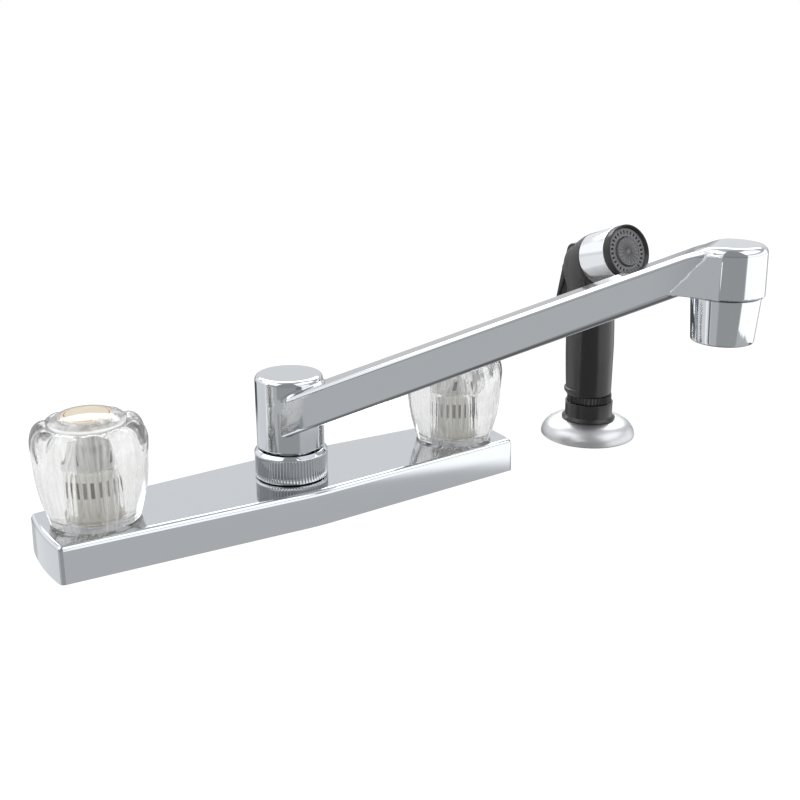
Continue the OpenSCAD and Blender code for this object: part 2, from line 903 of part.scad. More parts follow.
// A slice of the grip at a share of its length
module grip_slice(share, r) {
    translate([0, grip_lean * share, grip_foot_z + grip_len * share])
        cylinder(h = slice, r = r, $fn = blend_fn);
}

// Moves a piece made along +X to a place given from the lever's pivot
module at_pivot(x, out, rise) {
    translate([spray_x + x, lever_pivot_y + out, lever_pivot_z + rise]) rotate([0, 90, 0]) children();
}

// Moves a piece made along +Z to the plunger's line, which runs towards the lever
module at_plunger(y) {
    translate([spray_x, y, plunger_z]) rotate([-90, 0, 0]) children();
}

module spray_body() {
    head_z = face_z - face_out * sin(head_tilt);
    color("#303030")
        difference() {
            union() {
                translate([spray_x, 0, 0])
                    hull() {
                        grip_slice(0, grip_foot_r);
                        grip_slice(grip_rise_share, grip_r);
                        grip_slice(grip_low_share, grip_r);
                        grip_slice(grip_end_share, grip_top_r);
                    }
                difference() {
                    hull() {
                        translate([spray_x, 0, 0]) grip_slice(1, grip_top_r + grip_step);
                        at_face() translate([0, 0, rim_len + band_len - over])
                            cylinder(h = 2 * over, r = head_r, $fn = blend_fn);
                        at_face() translate([0, 0, rim_len + band_len + head_back_len])
                            sphere(r = head_back_r, $fn = blend_fn);
                    }
                    at_face() rod(-over, rim_len + band_len, head_r + over);
                }
                at_face() rod(rim_len, rim_len + band_len + over, head_core_r);
            }
            at_face() rod(face_sink, rim_len + band_len, head_bore_r);
            translate([spray_x, 0, 0]) {
                rod(grip_foot_z - over, grip_foot_z + coupling_thread_len, coupling_thread_r);
                rod(grip_foot_z, head_z, grip_bore_r);
            }
            hull() {
                lever_bar(0, 0, lever_eye_r + part_gap, lever_slot_w);
                lever_bar(lever_head_out, lever_head_rise, lever_head_r + part_gap, lever_slot_w);
            }
            translate([spray_x - lever_slot_w / 2, lever_pivot_y, slot_z])
                cube([lever_slot_w, 2 * head_r, 3 * head_r]);
            at_plunger(plunger_in) cylinder(h = lever_back, r = plunger_r + fit_gap);
            at_plunger(plunger_in) cylinder(h = plunger_spring_len, r = spring_r);
            at_pivot(-pin_len / 2, 0, 0) cylinder(h = pin_len, r = pin_r);
        }
}

module spray_band() {
    color("silver") at_face() ring(rim_len, rim_len + band_len, head_r, head_core_r);
}

module spray_rim() {
    color("black") at_face() ring(0, rim_len, head_r, face_r);
}

module spray_face() {
    color("dimgray")
        at_face()
            difference() {
                ring(face_sink, face_sink + face_t, face_r, face_core_r);
                for (i = [0 : spray_holes - 1])
                    rotate([0, 0, 360 * i / spray_holes]) translate([face_hole_ring_r, 0, 0])
                        rod(0, face_sink + face_t + over, face_hole_r);
            }
}

module spray_core() {
    color("gray")
        at_face() {
            rod(face_sink + face_t - face_core_t, face_sink + face_t, face_core_r);
            for (i = [0 : face_ribs - 1])
                rotate([0, 0, 360 * i / face_ribs])
                    translate([rib_w, -rib_w / 2, face_sink + face_t - face_core_t - rib_h])
                        cube([face_core_r - 2 * rib_w, rib_w, rib_h]);
        }
}

module spray_ring() {
    color("black")
        translate([spray_x, 0, grip_z])
            difference() {
                linear_extrude(spray_ring_h) knurl(ring_r, spray_ring_depth, spray_ring_teeth);
                translate([0, 0, -over]) cylinder(h = spray_ring_h + 2 * over, r = coupling_thread_r);
            }
}

module hose_coupling() {
    color("black")
        translate([spray_x, 0, 0])
            difference() {
                union() {
                    rod(grip_z - coupling_len, grip_z, coupling_r);
                    rod(grip_z, grip_foot_z + coupling_thread_len, coupling_thread_r);
                }
                rod(grip_z - coupling_len - over, grip_foot_z + coupling_thread_len + over,
                    coupling_bore_r);
            }
}

// Bar across the lever, at a place given from its pivot
module lever_bar(out, rise, r, width = lever_w) {
    at_pivot(-width / 2, out, rise) cylinder(h = width, r = r, $fn = blend_fn);
}

module spray_lever() {
    color("#262626")
        difference() {
            union() {
                hull() {
                    lever_bar(0, 0, lever_eye_r);
                    lever_bar(lever_head_out, lever_head_rise, lever_head_r);
                }
                hull() {
                    lever_bar(lever_head_out, lever_head_rise, lever_head_r);
                    lever_bar(lever_bend_out, -lever_bend_drop, lever_bend_r);
                }
                hull() {
                    lever_bar(lever_bend_out, -lever_bend_drop, lever_bend_r);
                    lever_bar(lever_back - lever_tip_r - lever_pivot_y, lever_tip_r - lever_len,
                        lever_tip_r);
                }
            }
            at_pivot(-lever_w, 0, 0) cylinder(h = 2 * lever_w, r = pin_r + fit_gap);
        }
}

module lever_pin() {
    color("silver") at_pivot(-pin_len / 2, 0, 0) cylinder(h = pin_len, r = pin_r);
}

module spray_plunger() {
    color("goldenrod")
        at_plunger(plunger_in + plunger_travel + seat_gap)
            cylinder(h = plunger_out - plunger_in - plunger_travel - seat_gap, r = plunger_r);
}

module plunger_spring() {
    color("silver")
        at_plunger(plunger_in) ring(0, plunger_spring_len, spring_r, spring_r - spring_coil_wall);
}

deck_plate();
deck_gasket();
hot_valve_body();
cold_valve_body();
spout_post();
cross_tubes();
hot_bonnet_nut();
cold_bonnet_nut();
hot_cartridge();
cold_cartridge();
seat_springs();
valve_seats();
hose_nipple();
shank_washers();
shank_nuts();
spout_nut();
spray_flange();
spray_holder();
holder_washer();
holder_nut();
diverter();
spout();
spout_o_rings();
spout_snap_ring();
aerator_housing();
aerator_washer();
aerator_insert();
aerator_screen();
hot_handle();
hot_core();
hot_screw();
hot_cap();
hot_button();
hot_stem();
hot_stem_o_ring();
cold_handle();
cold_core();
cold_screw();
cold_cap();
cold_button();
cold_stem();
cold_stem_o_ring();
spray_body();
spray_band();
spray_rim();
spray_face();
spray_core();
spray_ring();
hose_coupling();
spray_lever();
lever_pin();
spray_plunger();
plunger_spring();
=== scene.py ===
# %% [markdown]
# # Two handle kitchen faucet
#
# A chrome kitchen faucet on a long deck plate, with two clear fluted handles, a swinging spout and a black
# side spray in a dome flange. The frame that this script loads holds every piece at its real size. The
# cells below dress it: they build the smooth skins that light needs, and give each piece its finish.

# %% Load the frame
import json
import math

import bmesh
import bpy
import numpy as np
from mathutils import Matrix, Vector


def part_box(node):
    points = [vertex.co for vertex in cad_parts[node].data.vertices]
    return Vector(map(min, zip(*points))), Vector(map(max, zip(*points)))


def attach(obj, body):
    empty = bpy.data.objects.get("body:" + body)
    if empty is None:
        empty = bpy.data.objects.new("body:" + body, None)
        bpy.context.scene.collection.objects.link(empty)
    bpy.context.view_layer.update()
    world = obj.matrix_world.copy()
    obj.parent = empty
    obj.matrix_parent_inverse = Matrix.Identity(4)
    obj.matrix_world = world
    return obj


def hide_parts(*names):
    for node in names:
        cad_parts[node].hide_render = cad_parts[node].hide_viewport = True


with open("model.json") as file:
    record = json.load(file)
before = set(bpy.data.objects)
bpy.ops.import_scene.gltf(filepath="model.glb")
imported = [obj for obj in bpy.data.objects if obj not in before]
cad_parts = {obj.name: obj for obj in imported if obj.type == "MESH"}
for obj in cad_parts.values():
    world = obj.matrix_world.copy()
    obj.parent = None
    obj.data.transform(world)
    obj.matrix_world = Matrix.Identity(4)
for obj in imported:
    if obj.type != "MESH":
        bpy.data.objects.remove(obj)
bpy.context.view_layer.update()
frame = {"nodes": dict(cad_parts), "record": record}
nodes = frame["nodes"]
mm = 0.001
print("pieces in the frame:", len(nodes))

# %% [markdown]
# Sizes come from the frame, so that the skins always fit the construction. A box gives a node's lowest and
# highest corner, and most pieces here are turned ones, so their axis, radius and heights follow from it.


# %% Sizes from the frame
def middle(node):
    """The middle of a node's box seen from above, as x and y."""
    low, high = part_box(node)
    return np.array([(low.x + high.x) / 2, (low.y + high.y) / 2])


def radius(node):
    """Half of a node's width along X."""
    low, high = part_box(node)
    return (high.x - low.x) / 2


def bottom(node):
    """The height of a node's lowest point."""
    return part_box(node)[0].z


def top(node):
    """The height of a node's highest point."""
    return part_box(node)[1].z


hot = middle("hot_stem")
cold = middle("cold_stem")
spray = middle("hose_coupling")
deck_top = top("deck_plate")
outlet = middle("aerator_insert")
reach = float(np.hypot(outlet[0], outlet[1]))
spout_turn = math.atan2(outlet[1], outlet[0])
print("valves at", hot, cold, "spray at", spray, "reach", round(reach, 4))

# %% [markdown]
# The camera stands in front of the hot handle, a little above the spout, and looks across the plate towards
# the spray. Its place was found by fitting the plate's outline, the handles and the outlet.

# %% Camera
camera_data = bpy.data.cameras.new("camera")
camera_data.lens = 48.46
camera_data.sensor_width = 36
camera = bpy.data.objects.new("camera", camera_data)
camera.location = (-0.232911, -0.459800, 0.224417)
camera.rotation_euler = (math.radians(71.947), 0, math.radians(-33.027))
bpy.context.scene.collection.objects.link(camera)
bpy.context.scene.camera = camera
bpy.context.scene.view_settings.view_transform = "Standard"
print("camera at", tuple(camera.location))


# %% [markdown]
# Shader maths reads best as plain sums. One function adds any node: it takes the node's type, its settings
# and the values or links of its sockets. The small class Wire wraps a socket, so that `1 - mask * 0.5` adds
# the Math nodes by itself, and the class Shader keeps the sums that several finishes share.


# %% A socket that takes part in sums
def add_node(tree, kind, settings=None, values=None, output=0):
    """Adds a node to a tree: first its settings, then its sockets' values or links, by number or name."""
    made = tree.nodes.new(kind)
    for name, value in (settings or {}).items():
        setattr(made, name, value)
    for socket, value in (values or {}).items():
        if isinstance(value, Wire):
            tree.links.new(value.socket, made.inputs[socket])
        else:
            made.inputs[socket].default_value = value
    return Wire(tree, made.outputs[output])


class Wire:
    """An output socket that operators join to others, or to numbers, with Math nodes."""

    def __init__(self, tree, socket):
        self.tree = tree
        self.socket = socket

    def math(self, operation, *others):
        values = dict(enumerate((self, *others)))
        return add_node(self.tree, "ShaderNodeMath", {"operation": operation}, values)

    def __add__(self, other):
        return self.math("ADD", other)

    def __sub__(self, other):
        return self.math("SUBTRACT", other)

    def __rsub__(self, other):
        return (self * -1).math("ADD", other)

    def __mul__(self, other):
        return self.math("MULTIPLY", other)

    __radd__ = __add__
    __rmul__ = __mul__

    def between(self, low, high):
        """0 below low, 1 above high, and a smooth rise from one to the other."""
        smooth = {"interpolation_type": "SMOOTHSTEP"}
        return add_node(self.tree, "ShaderNodeMapRange", smooth, {0: self, 1: low, 2: high})

    def band(self, centre, half, soft):
        """1 within half of centre, and a smooth fall to 0 over soft on each side."""
        away = (self - centre).math("ABSOLUTE")
        return 1 - away.between(half, half + soft)


# %% Groups of nodes
class Shader:
    """A node tree, and the groups of nodes that several finishes share."""

    def __init__(self, tree):
        self.tree = tree
        tree.nodes.clear()

    def node(self, kind, output=0, **sockets):
        """A node whose sockets are given by name, with _ for a space."""
        values = {name.replace("_", " "): value for name, value in sockets.items()}
        return add_node(self.tree, kind, None, values, output)

    def mix(self, mask, first, second):
        """The colour first where mask is 0, and second where it is 1."""
        return add_node(self.tree, "ShaderNodeMix", {"data_type": "RGBA"}, {0: mask, 6: first, 7: second}, 2)

    def blend(self, mask, first, second):
        """The surface first where mask is 0, and second where it is 1."""
        return add_node(self.tree, "ShaderNodeMixShader", None, {0: mask, 1: first, 2: second})

    def place(self, output=3):
        """The point on the piece, in metres, as three wires. In the world, output 0 is the way a ray runs."""
        point = self.node("ShaderNodeTexCoord", output=output)
        split = self.tree.nodes.new("ShaderNodeSeparateXYZ")
        self.tree.links.new(point.socket, split.inputs[0])
        return [Wire(self.tree, slot) for slot in split.outputs]

    def from_axis(self, centre):
        """Where a point lies from an upright axis: how far along X and Y, how far away, and how high."""
        x, y, z = self.place()
        across, deep = x - float(centre[0]), y - float(centre[1])
        return across, deep, (across * across + deep * deep).math("SQRT"), z

    def round_axis(self, centre):
        """The bearing of a point from an upright axis, its distance to the axis, and its height."""
        across, deep, away, z = self.from_axis(centre)
        return deep.math("ARCTAN2", across), away, z

    def streaks(self, centre, round_cells, cells_per_metre):
        """Noise that runs in upright streaks round an axis: it is read on a cylinder of even radius."""
        across, deep, away, z = self.from_axis(centre)
        spot = self.node("ShaderNodeCombineXYZ", X=across.math("DIVIDE", away) * round_cells,
                         Y=deep.math("DIVIDE", away) * round_cells, Z=z * cells_per_metre)
        return self.node("ShaderNodeTexNoise", Vector=spot, Scale=1.0, Detail=3.0, Roughness=0.6)

    def noise(self, scale, detail=3.0):
        """A noise with scale cells to the metre. Detail says how many finer noises lie over it."""
        point = self.node("ShaderNodeTexCoord", output=3)
        return self.node("ShaderNodeTexNoise", Vector=point, Scale=scale, Detail=detail)

    def bump(self, height, distance, strength):
        return self.node("ShaderNodeBump", Height=height, Distance=distance, Strength=strength)

    def any_ray(self, *kinds):
        """1 for a ray that is of one of the kinds, and 0 for any other ray."""
        is_one, *others = [self.node("ShaderNodeLightPath", output=kind) for kind in kinds]
        for other in others:
            is_one = is_one.math("MAXIMUM", other)
        return is_one


# %% Materials
def colour(red, green, blue):
    return (red, green, blue, 1.0)


def material(name, shade):
    """A new material, whose surface is what shade adds to its Shader."""
    made = bpy.data.materials.new(name)
    made.use_nodes = True
    shader = Shader(made.node_tree)
    surface = shade(shader)
    end = made.node_tree.nodes.new("ShaderNodeOutputMaterial")
    made.node_tree.links.new(surface.socket, end.inputs["Surface"])
    return made


# %% [markdown]
# The room is plain and white. The floor stands for the top of the sink's deck, which hides the shanks below
# it. The camera sees the floor and the world as white, and glass does too. Chrome shows little else than
# what stands round it, so for mirror rays the world holds what a studio has there: a grey room that is
# darker at the horizon and behind the camera, soft boxes high up on three sides, pale panels to the left
# and right, and a few dark strips, which give chrome its black lines. All of it is one sum of smooth
# patches, each with its place in degrees.


# %% World
floor_grey, floor_fall = 0.62, 0.42
front_grey, back_gain = 0.55, 0.35
horizon_dark, camera_dark = 0.35, 0.3
side_box_light, back_box_light = 1.5, 5.0
left_panel_light, right_panel_light = 0.3, 1.0
back_strip_dark, right_strip_dark = 0.85, 0.9
tall_edge_light, tall_streak_dark = 0.35, 0.75


def studio_grey(shader):
    """The brightness of the room in each direction, from its bearing and its rise above the horizon."""
    x, y, z = shader.place(output=0)
    bearing = y.math("ARCTAN2", x) * (180 / math.pi)
    rise = z.math("ARCSINE") * (180 / math.pi)

    def patch(across, up):
        """1 on a patch of the room and 0 round it, from its middle, half size and soft edge in both ways."""
        return bearing.band(*across) * rise.band(*up)

    below = 1 - rise.between(-2, 6)
    lower = floor_grey - (rise * -1).between(35, 75) * floor_fall
    upper = front_grey + y.between(-0.1, 0.5) * back_gain
    grey = lower * below + upper * (1 - below)
    grey = grey * (1 - rise.band(1, 2, 3) * horizon_dark)
    grey = grey * (1 - bearing.band(-123, 34, 5) * camera_dark)

    left_side = bearing.between(119, 127) + (1 - bearing.between(-163, -157))
    right_side = bearing.band(-50, 37, 4)
    grey = grey + rise.band(49, 12, 12) * (left_side + right_side) * side_box_light
    grey = grey + patch((57, 35, 8), (38, 9, 4)) * back_box_light
    grey = grey + patch((130, 30, 6), (-5, 28, 8)) * left_panel_light
    grey = grey + patch((-38, 44, 4), (1.2, 20, 0.8)) * right_panel_light

    grey = grey * (1 - patch((75, 28, 6), (-15.5, 2.5, 1.5)) * back_strip_dark)
    grey = grey * (1 - patch((5, 24, 3), (-23.6, 3, 0.5)) * right_strip_dark)
    grey = grey + patch((166, 9, 2), (-10, 40, 10)) * tall_edge_light
    return grey * (1 - patch((171, 2.5, 1.5), (-10, 40, 10)) * tall_streak_dark)


# %% What each ray sees
matt_light = 0.62
world = bpy.data.worlds.new("studio")
bpy.context.scene.world = world
world.use_nodes = True
sky = Shader(world.node_tree)
plain = sky.node("ShaderNodeBackground", Color=colour(1, 1, 1), Strength=matt_light)
white = sky.node("ShaderNodeBackground", Color=colour(1, 1, 1), Strength=1.0)
room = sky.node("ShaderNodeBackground", Color=colour(0.97, 0.985, 1), Strength=studio_grey(sky))
sky_mix = sky.blend(sky.any_ray("Is Glossy Ray"), plain, room)
sky_mix = sky.blend(sky.any_ray("Is Camera Ray", "Is Transmission Ray"), sky_mix, white)
sky_end = sky.tree.nodes.new("ShaderNodeOutputWorld")
sky.tree.links.new(sky_mix.socket, sky_end.inputs["Surface"])
print("world ready")


# %% Floor
half_floor = 6
floor_z = -0.2 * mm
white_share, white_strength = 0.8, 1.13


def floor_shade(shader):
    """Pale to the light, and mostly plain white for the rays that show it, so that its shadow stays soft."""
    seen_by = shader.any_ray("Is Camera Ray", "Is Glossy Ray", "Is Transmission Ray")
    lit = shader.node("ShaderNodeBsdfDiffuse", Color=colour(0.9, 0.9, 0.9))
    bright = shader.node("ShaderNodeEmission", Color=colour(1, 1, 1), Strength=white_strength)
    return shader.blend(seen_by * white_share, lit, bright)


floor_mesh = bpy.data.meshes.new("floor")
floor_corners = [(x * half_floor, y * half_floor, floor_z) for x, y in ((-1, -1), (1, -1), (1, 1), (-1, 1))]
floor_mesh.from_pydata(floor_corners, [], [(0, 1, 2, 3)])
floor_mesh.materials.append(material("pale_floor", floor_shade))
floor = bpy.data.objects.new("floor", floor_mesh)
bpy.context.scene.collection.objects.link(floor)
floor.visible_glossy = False
print("floor ready")


# %% [markdown]
# Two soft lamps give the light that matt pieces and the floor's shadow need: a strong one at the left of
# the camera and a weak one at the right. Chrome would show them as bright squares, so mirror rays pass them
# by.


# %% Lamps
def lamp(name, place, side, power):
    """A square soft lamp that points at the middle of the faucet."""
    data = bpy.data.lights.new(name, "AREA")
    data.shape = "RECTANGLE"
    data.size = data.size_y = side
    data.energy = power
    made = bpy.data.objects.new(name, data)
    made.location = place
    made.rotation_euler = (Vector(lamp_target) - Vector(place)).to_track_quat("-Z", "Y").to_euler()
    made.visible_camera = False
    made.visible_glossy = False
    made.visible_transmission = False
    bpy.context.scene.collection.objects.link(made)


lamp_target = (0.05, 0, 0.05)
lamp("key", (-0.9, -0.9, 1.3), 1.0, 16)
lamp("fill", (1.2, -0.5, 0.9), 0.8, 6)
print("lamps ready")

# %% [markdown]
# Most pieces are turned on a lathe or moulded from a grid of points. One function makes a mesh of a grid
# whose rows and columns may close on themselves, and another carries a profile round an upright axis. Each
# finished mesh then goes into the scene with its finish, the body that it rides on and the node that it
# stands for.


# %% Pieces in the scene
def add_mesh(mesh, body, finish, node):
    """Makes an object of a mesh, gives it its finish, hangs it on the empty of the body that it rides on, and
    hides the node that it stands for.
    """
    made = bpy.data.objects.new(mesh.name, mesh)
    bpy.context.scene.collection.objects.link(made)
    mesh.materials.append(finish)
    mesh.polygons.foreach_set("use_smooth", np.full(len(mesh.polygons), True))
    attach(made, body)
    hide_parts(node)
    print(mesh.name, "has", len(mesh.polygons), "faces")
    return made


# %% Grids of faces
def grid_faces(rows, columns, close_rows, close_columns):
    """The four corners of each cell of a grid, as numbers of its points counted along the rows."""
    i = np.arange(rows if close_rows else rows - 1)
    j = np.arange(columns if close_columns else columns - 1)
    i, j = [a.ravel() for a in np.meshgrid(i, j, indexing="ij")]
    i_next, j_next = (i + 1) % rows, (j + 1) % columns
    here, there = i * columns, i_next * columns
    return np.stack([here + j, there + j, there + j_next, here + j_next], 1)


def quad_mesh(name, points, faces):
    """A mesh of four-cornered faces, filled at once from arrays."""
    mesh = bpy.data.meshes.new(name)
    mesh.vertices.add(len(points))
    mesh.vertices.foreach_set("co", np.asarray(points, np.float32).ravel())
    mesh.loops.add(faces.size)
    mesh.loops.foreach_set("vertex_index", faces.ravel().astype(np.int32))
    mesh.polygons.add(len(faces))
    mesh.polygons.foreach_set("loop_start", np.arange(0, faces.size, 4, dtype=np.int32))
    mesh.update(calc_edges=True)
    return mesh


def weld(mesh, gap=1e-6):
    """Merges points that lie on each other, drops faces that this closes, and turns all faces outwards."""
    work = bmesh.new()
    work.from_mesh(mesh)
    bmesh.ops.remove_doubles(work, verts=work.verts, dist=gap)
    bmesh.ops.dissolve_degenerate(work, edges=work.edges, dist=gap)
    bmesh.ops.recalc_face_normals(work, faces=work.faces)
    work.to_mesh(mesh)
    work.free()
    mesh.update()
    return mesh


def grid_mesh(name, points, close_rows=False, close_columns=False):
    rows, columns = points.shape[:2]
    faces = grid_faces(rows, columns, close_rows, close_columns)
    return weld(quad_mesh(name, points.reshape(-1, 3), faces))


# %% Outlines with rounded corners
def rounded(corners, radii, steps=6):
    """An outline with each corner replaced by an arc. The arc starts and ends where it touches the two edges,
    at a distance of radius / tan(half the corner's angle) from the corner, but never past half an edge."""
    corners = np.array(corners, float)
    line = []
    for index, corner in enumerate(corners):
        arc = radii[index]
        if arc == 0 or index in (0, len(corners) - 1):
            line.append(corner[None])
            continue
        before, after = corners[index - 1] - corner, corners[index + 1] - corner
        long_before, long_after = np.linalg.norm(before), np.linalg.norm(after)
        before, after = before / long_before, after / long_after
        half = math.acos(np.clip(before @ after, -1, 1)) / 2
        back = min(arc / math.tan(half), 0.499 * long_before, 0.499 * long_after)
        arc = back * math.tan(half)
        centre = corner + (before + after) / np.linalg.norm(before + after) * arc / math.sin(half)
        start = corner + before * back - centre
        end = corner + after * back - centre
        angle = math.acos(np.clip(start @ end / arc ** 2, -1, 1))
        t = np.linspace(0, 1, steps + 1)[:, None]
        line.append(centre + (np.sin((1 - t) * angle) * start + np.sin(t * angle) * end) / math.sin(angle))
    return np.concatenate(line)


# %% Turned shapes
def turned_points(profile, centre, sides, swell=None):
    """The profile's points (r, z) turned round an upright axis: x = r cos a, y = r sin a. swell(a, r, z)
    may give another radius for each angle."""
    angle = np.linspace(0, 2 * math.pi, sides, endpoint=False)[:, None]
    r, z = profile[None, :, 0] + 0 * angle, profile[None, :, 1] + 0 * angle
    if swell is not None:
        r = swell(angle + 0 * r, r, z)
    return np.stack([centre[0] + r * np.cos(angle), centre[1] + r * np.sin(angle), z], -1)


def turned(name, profile, centre, sides, loop=True, swell=None):
    return grid_mesh(name, turned_points(profile, centre, sides, swell), True, loop)


# %% [markdown]
# A casting has no separate parts: its forms flow into each other with small fillets. Such a skin is the
# surface where a distance field is zero, and a smooth minimum of two fields gives the fillet. The field is
# sampled on a grid. Each cell that the skin crosses gets one point, which then slides along the field's
# slope onto the skin, and each grid edge that the skin cuts gets a face. All of that works on whole arrays.


# %% Sums of distance fields
def join(first, second, fillet):
    """The smooth minimum of two fields: min - h * h * fillet / 4, where h is 1 - |difference| / fillet."""
    near = np.clip(1 - np.abs(first - second) / fillet, 0, 1)
    return np.minimum(first, second) - near ** 2 * fillet / 4


def cut(first, second, fillet):
    """First without second, with a rounded rim."""
    return -join(-first, second, fillet)


def both(first, second, edge):
    """The overlap of two fields. Near their common edge the distance is that to a line which lies the radius
    edge further in, less this radius, so that the edge is rounded."""
    past = np.stack([first + edge, second + edge])
    outside = np.sqrt((np.maximum(past, 0) ** 2).sum(0))
    return outside + np.minimum(past.max(0), 0) - edge


def box_field(across, up, half_across, half_up, edge):
    """The distance to a rectangle with round corners, from the distances past its two half sizes."""
    return both(np.abs(across) - half_across, np.abs(up) - half_up, edge)


# %% Points of a skin
def cell_points(value, axes, step):
    """One point for each cell that the skin crosses: the mean of the places where it cuts the cell's edges.
    The second result numbers the cells, with -1 where there is no point."""
    inside = value < 0
    shape = np.array(value.shape) - 1
    total = np.zeros(shape, np.float32)
    place = np.zeros((3, *shape), np.float32)
    corners = [(a, b, c) for a in (0, 1) for b in (0, 1) for c in (0, 1)]
    for first in corners:
        for second in corners:
            if sum(second) - sum(first) != 1 or any(s < f for f, s in zip(first, second)):
                continue
            start = tuple(slice(o, o + n) for o, n in zip(first, shape))
            end = tuple(slice(o, o + n) for o, n in zip(second, shape))
            crossed = inside[start] != inside[end]
            share = np.where(crossed, value[start] / np.where(crossed, value[start] - value[end], 1), 0)
            total += crossed
            for axis in range(3):
                place[axis] += crossed * (first[axis] + share * (second[axis] - first[axis]))
    mixed = total > 0
    number = np.full(shape, -1, np.int64)
    number[mixed] = np.arange(mixed.sum())
    index = np.argwhere(mixed).T
    points = np.array([axes[a][0] + step * (index[a] + place[a][mixed] / total[mixed]) for a in range(3)])
    return points, number


# %% Faces of a skin
def skin_faces(value, number):
    """One face for each edge of the grid that the skin cuts, from the numbers of the four cells round it."""
    inside = value < 0
    shape = number.shape
    quads = []
    for axis in range(3):
        one, two = [a for a in range(3) if a != axis]
        here = [slice(0, n) for n in value.shape]
        there = list(here)
        here[axis], there[axis] = slice(0, -1), slice(1, None)
        crossed = inside[tuple(here)] != inside[tuple(there)]
        cells = np.argwhere(crossed)
        cells = cells[(cells[:, one] > 0) & (cells[:, two] > 0)
                      & (cells[:, one] < shape[one]) & (cells[:, two] < shape[two])]
        out = inside[tuple(here)][tuple(cells.T)]
        ring = []
        for back_one, back_two in ((1, 1), (0, 1), (0, 0), (1, 0)):
            cell = cells.copy()
            cell[:, one] -= back_one
            cell[:, two] -= back_two
            ring.append(number[tuple(cell.T)])
        ring = np.stack(ring, 1)
        flip = out if axis != 1 else ~out
        ring[~flip] = ring[~flip][:, ::-1]
        quads.append(ring)
    return np.concatenate(quads)


# %% Slope of a field
def slope_of(field, points, reach_out):
    """The field's slope at each point, from its values a little to both sides along each axis."""
    slope = []
    for axis in range(3):
        aside = np.zeros((3, 1))
        aside[axis] = reach_out
        slope.append((field(*(points + aside)) - field(*(points - aside))) / (2 * reach_out))
    return np.array(slope)


# %% Points that slide onto the skin
slide_rounds = 5
slope_reach = 0.02
least_slope = 0.2


def field_skin(name, field, low, high, step, turn=0.0):
    """The skin where field(x, y, z) is zero, in the box from low to high, and then turned about Z. In each
    round a point moves by field * slope / slope squared, and never further than a step from its cell's
    mean."""
    axes = [np.arange(a, b + step, step) for a, b in zip(low, high)]
    value = field(*np.meshgrid(*axes, indexing="ij"))
    points, number = cell_points(value, axes, step)
    start = points.copy()
    for _ in range(slide_rounds):
        here = field(*points)
        slope = slope_of(field, points, step * slope_reach)
        points = points - here * slope / np.maximum((slope ** 2).sum(0), least_slope)
        points = start + np.clip(points - start, -step, step)
    slope = slope_of(field, points, step * slope_reach)
    slope /= np.linalg.norm(slope, axis=0)
    about_z = np.array(Matrix.Rotation(turn, 3, "Z"))
    mesh = quad_mesh(name, (about_z @ points).T, skin_faces(value, number))
    mesh.polygons.foreach_set("use_smooth", np.full(len(mesh.polygons), True))
    mesh.normals_split_custom_set_from_vertices((about_z @ slope).T)
    return mesh


def skin_over(node, name, field, margin, step):
    """The skin of a field that stays within margin of a node's box."""
    low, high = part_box(node)
    return field_skin(name, field, np.array(low) - margin, np.array(high) + margin, step)


# %% [markdown]
# Chrome is a thin bright coat on polished metal. It has next to no roughness and a cool grey tint. What
# tells it from a perfect mirror are the slow waves of the polished casting below it, which a weak bump
# gives.


# %% Chrome
def chrome_shade(shader):
    waves = shader.noise(14.0, detail=1.0)
    grain = shader.noise(900.0, detail=2.0)
    return shader.node(
        "ShaderNodeBsdfPrincipled", Base_Color=colour(0.63, 0.645, 0.665), Metallic=1.0,
        Roughness=0.035 + grain * 0.03, Normal=shader.bump(waves, 0.00003, 0.6))


chrome = material("chrome", chrome_shade)
print("chrome ready")


# %% [markdown]
# Three more finishes need nodes of their own. Satin nickel has cloudy tones under a fine grain, black
# moulded plastic has faint scuffs, and clear acrylic is a glass with a little haze.


# %% Nickel, black plastic and clear acrylic
def nickel_shade(shader):
    grain = shader.noise(2600.0, detail=2.0)
    clouds = shader.noise(60.0, detail=2.0)
    tone = shader.mix(clouds, colour(0.52, 0.52, 0.53), colour(0.60, 0.60, 0.61))
    return shader.node(
        "ShaderNodeBsdfPrincipled", Base_Color=tone, Metallic=0.9, Roughness=0.3 + grain * 0.1,
        Normal=shader.bump(grain, 0.00001, 0.5))


def black_shade(shader):
    grain = shader.noise(1500.0, detail=3.0)
    scuffs = shader.noise(140.0, detail=4.0)
    tone = shader.mix(scuffs, colour(0.010, 0.009, 0.009), colour(0.020, 0.018, 0.018))
    return shader.node(
        "ShaderNodeBsdfPrincipled", Base_Color=tone, Roughness=0.2 + grain * 0.08, Specular_IOR_Level=0.45,
        Normal=shader.bump(grain, 0.00001, 0.4))


def clear_glass(shader, tint):
    haze = shader.noise(300.0, detail=2.0)
    return shader.node(
        "ShaderNodeBsdfPrincipled", Base_Color=colour(*tint), Roughness=0.01 + haze * 0.02,
        IOR=1.49, Transmission_Weight=1.0)


nickel = material("satin_nickel", nickel_shade)
black = material("black_plastic", black_shade)
acrylic = material("clear_acrylic", lambda shader: clear_glass(shader, (0.95, 0.955, 0.95)))
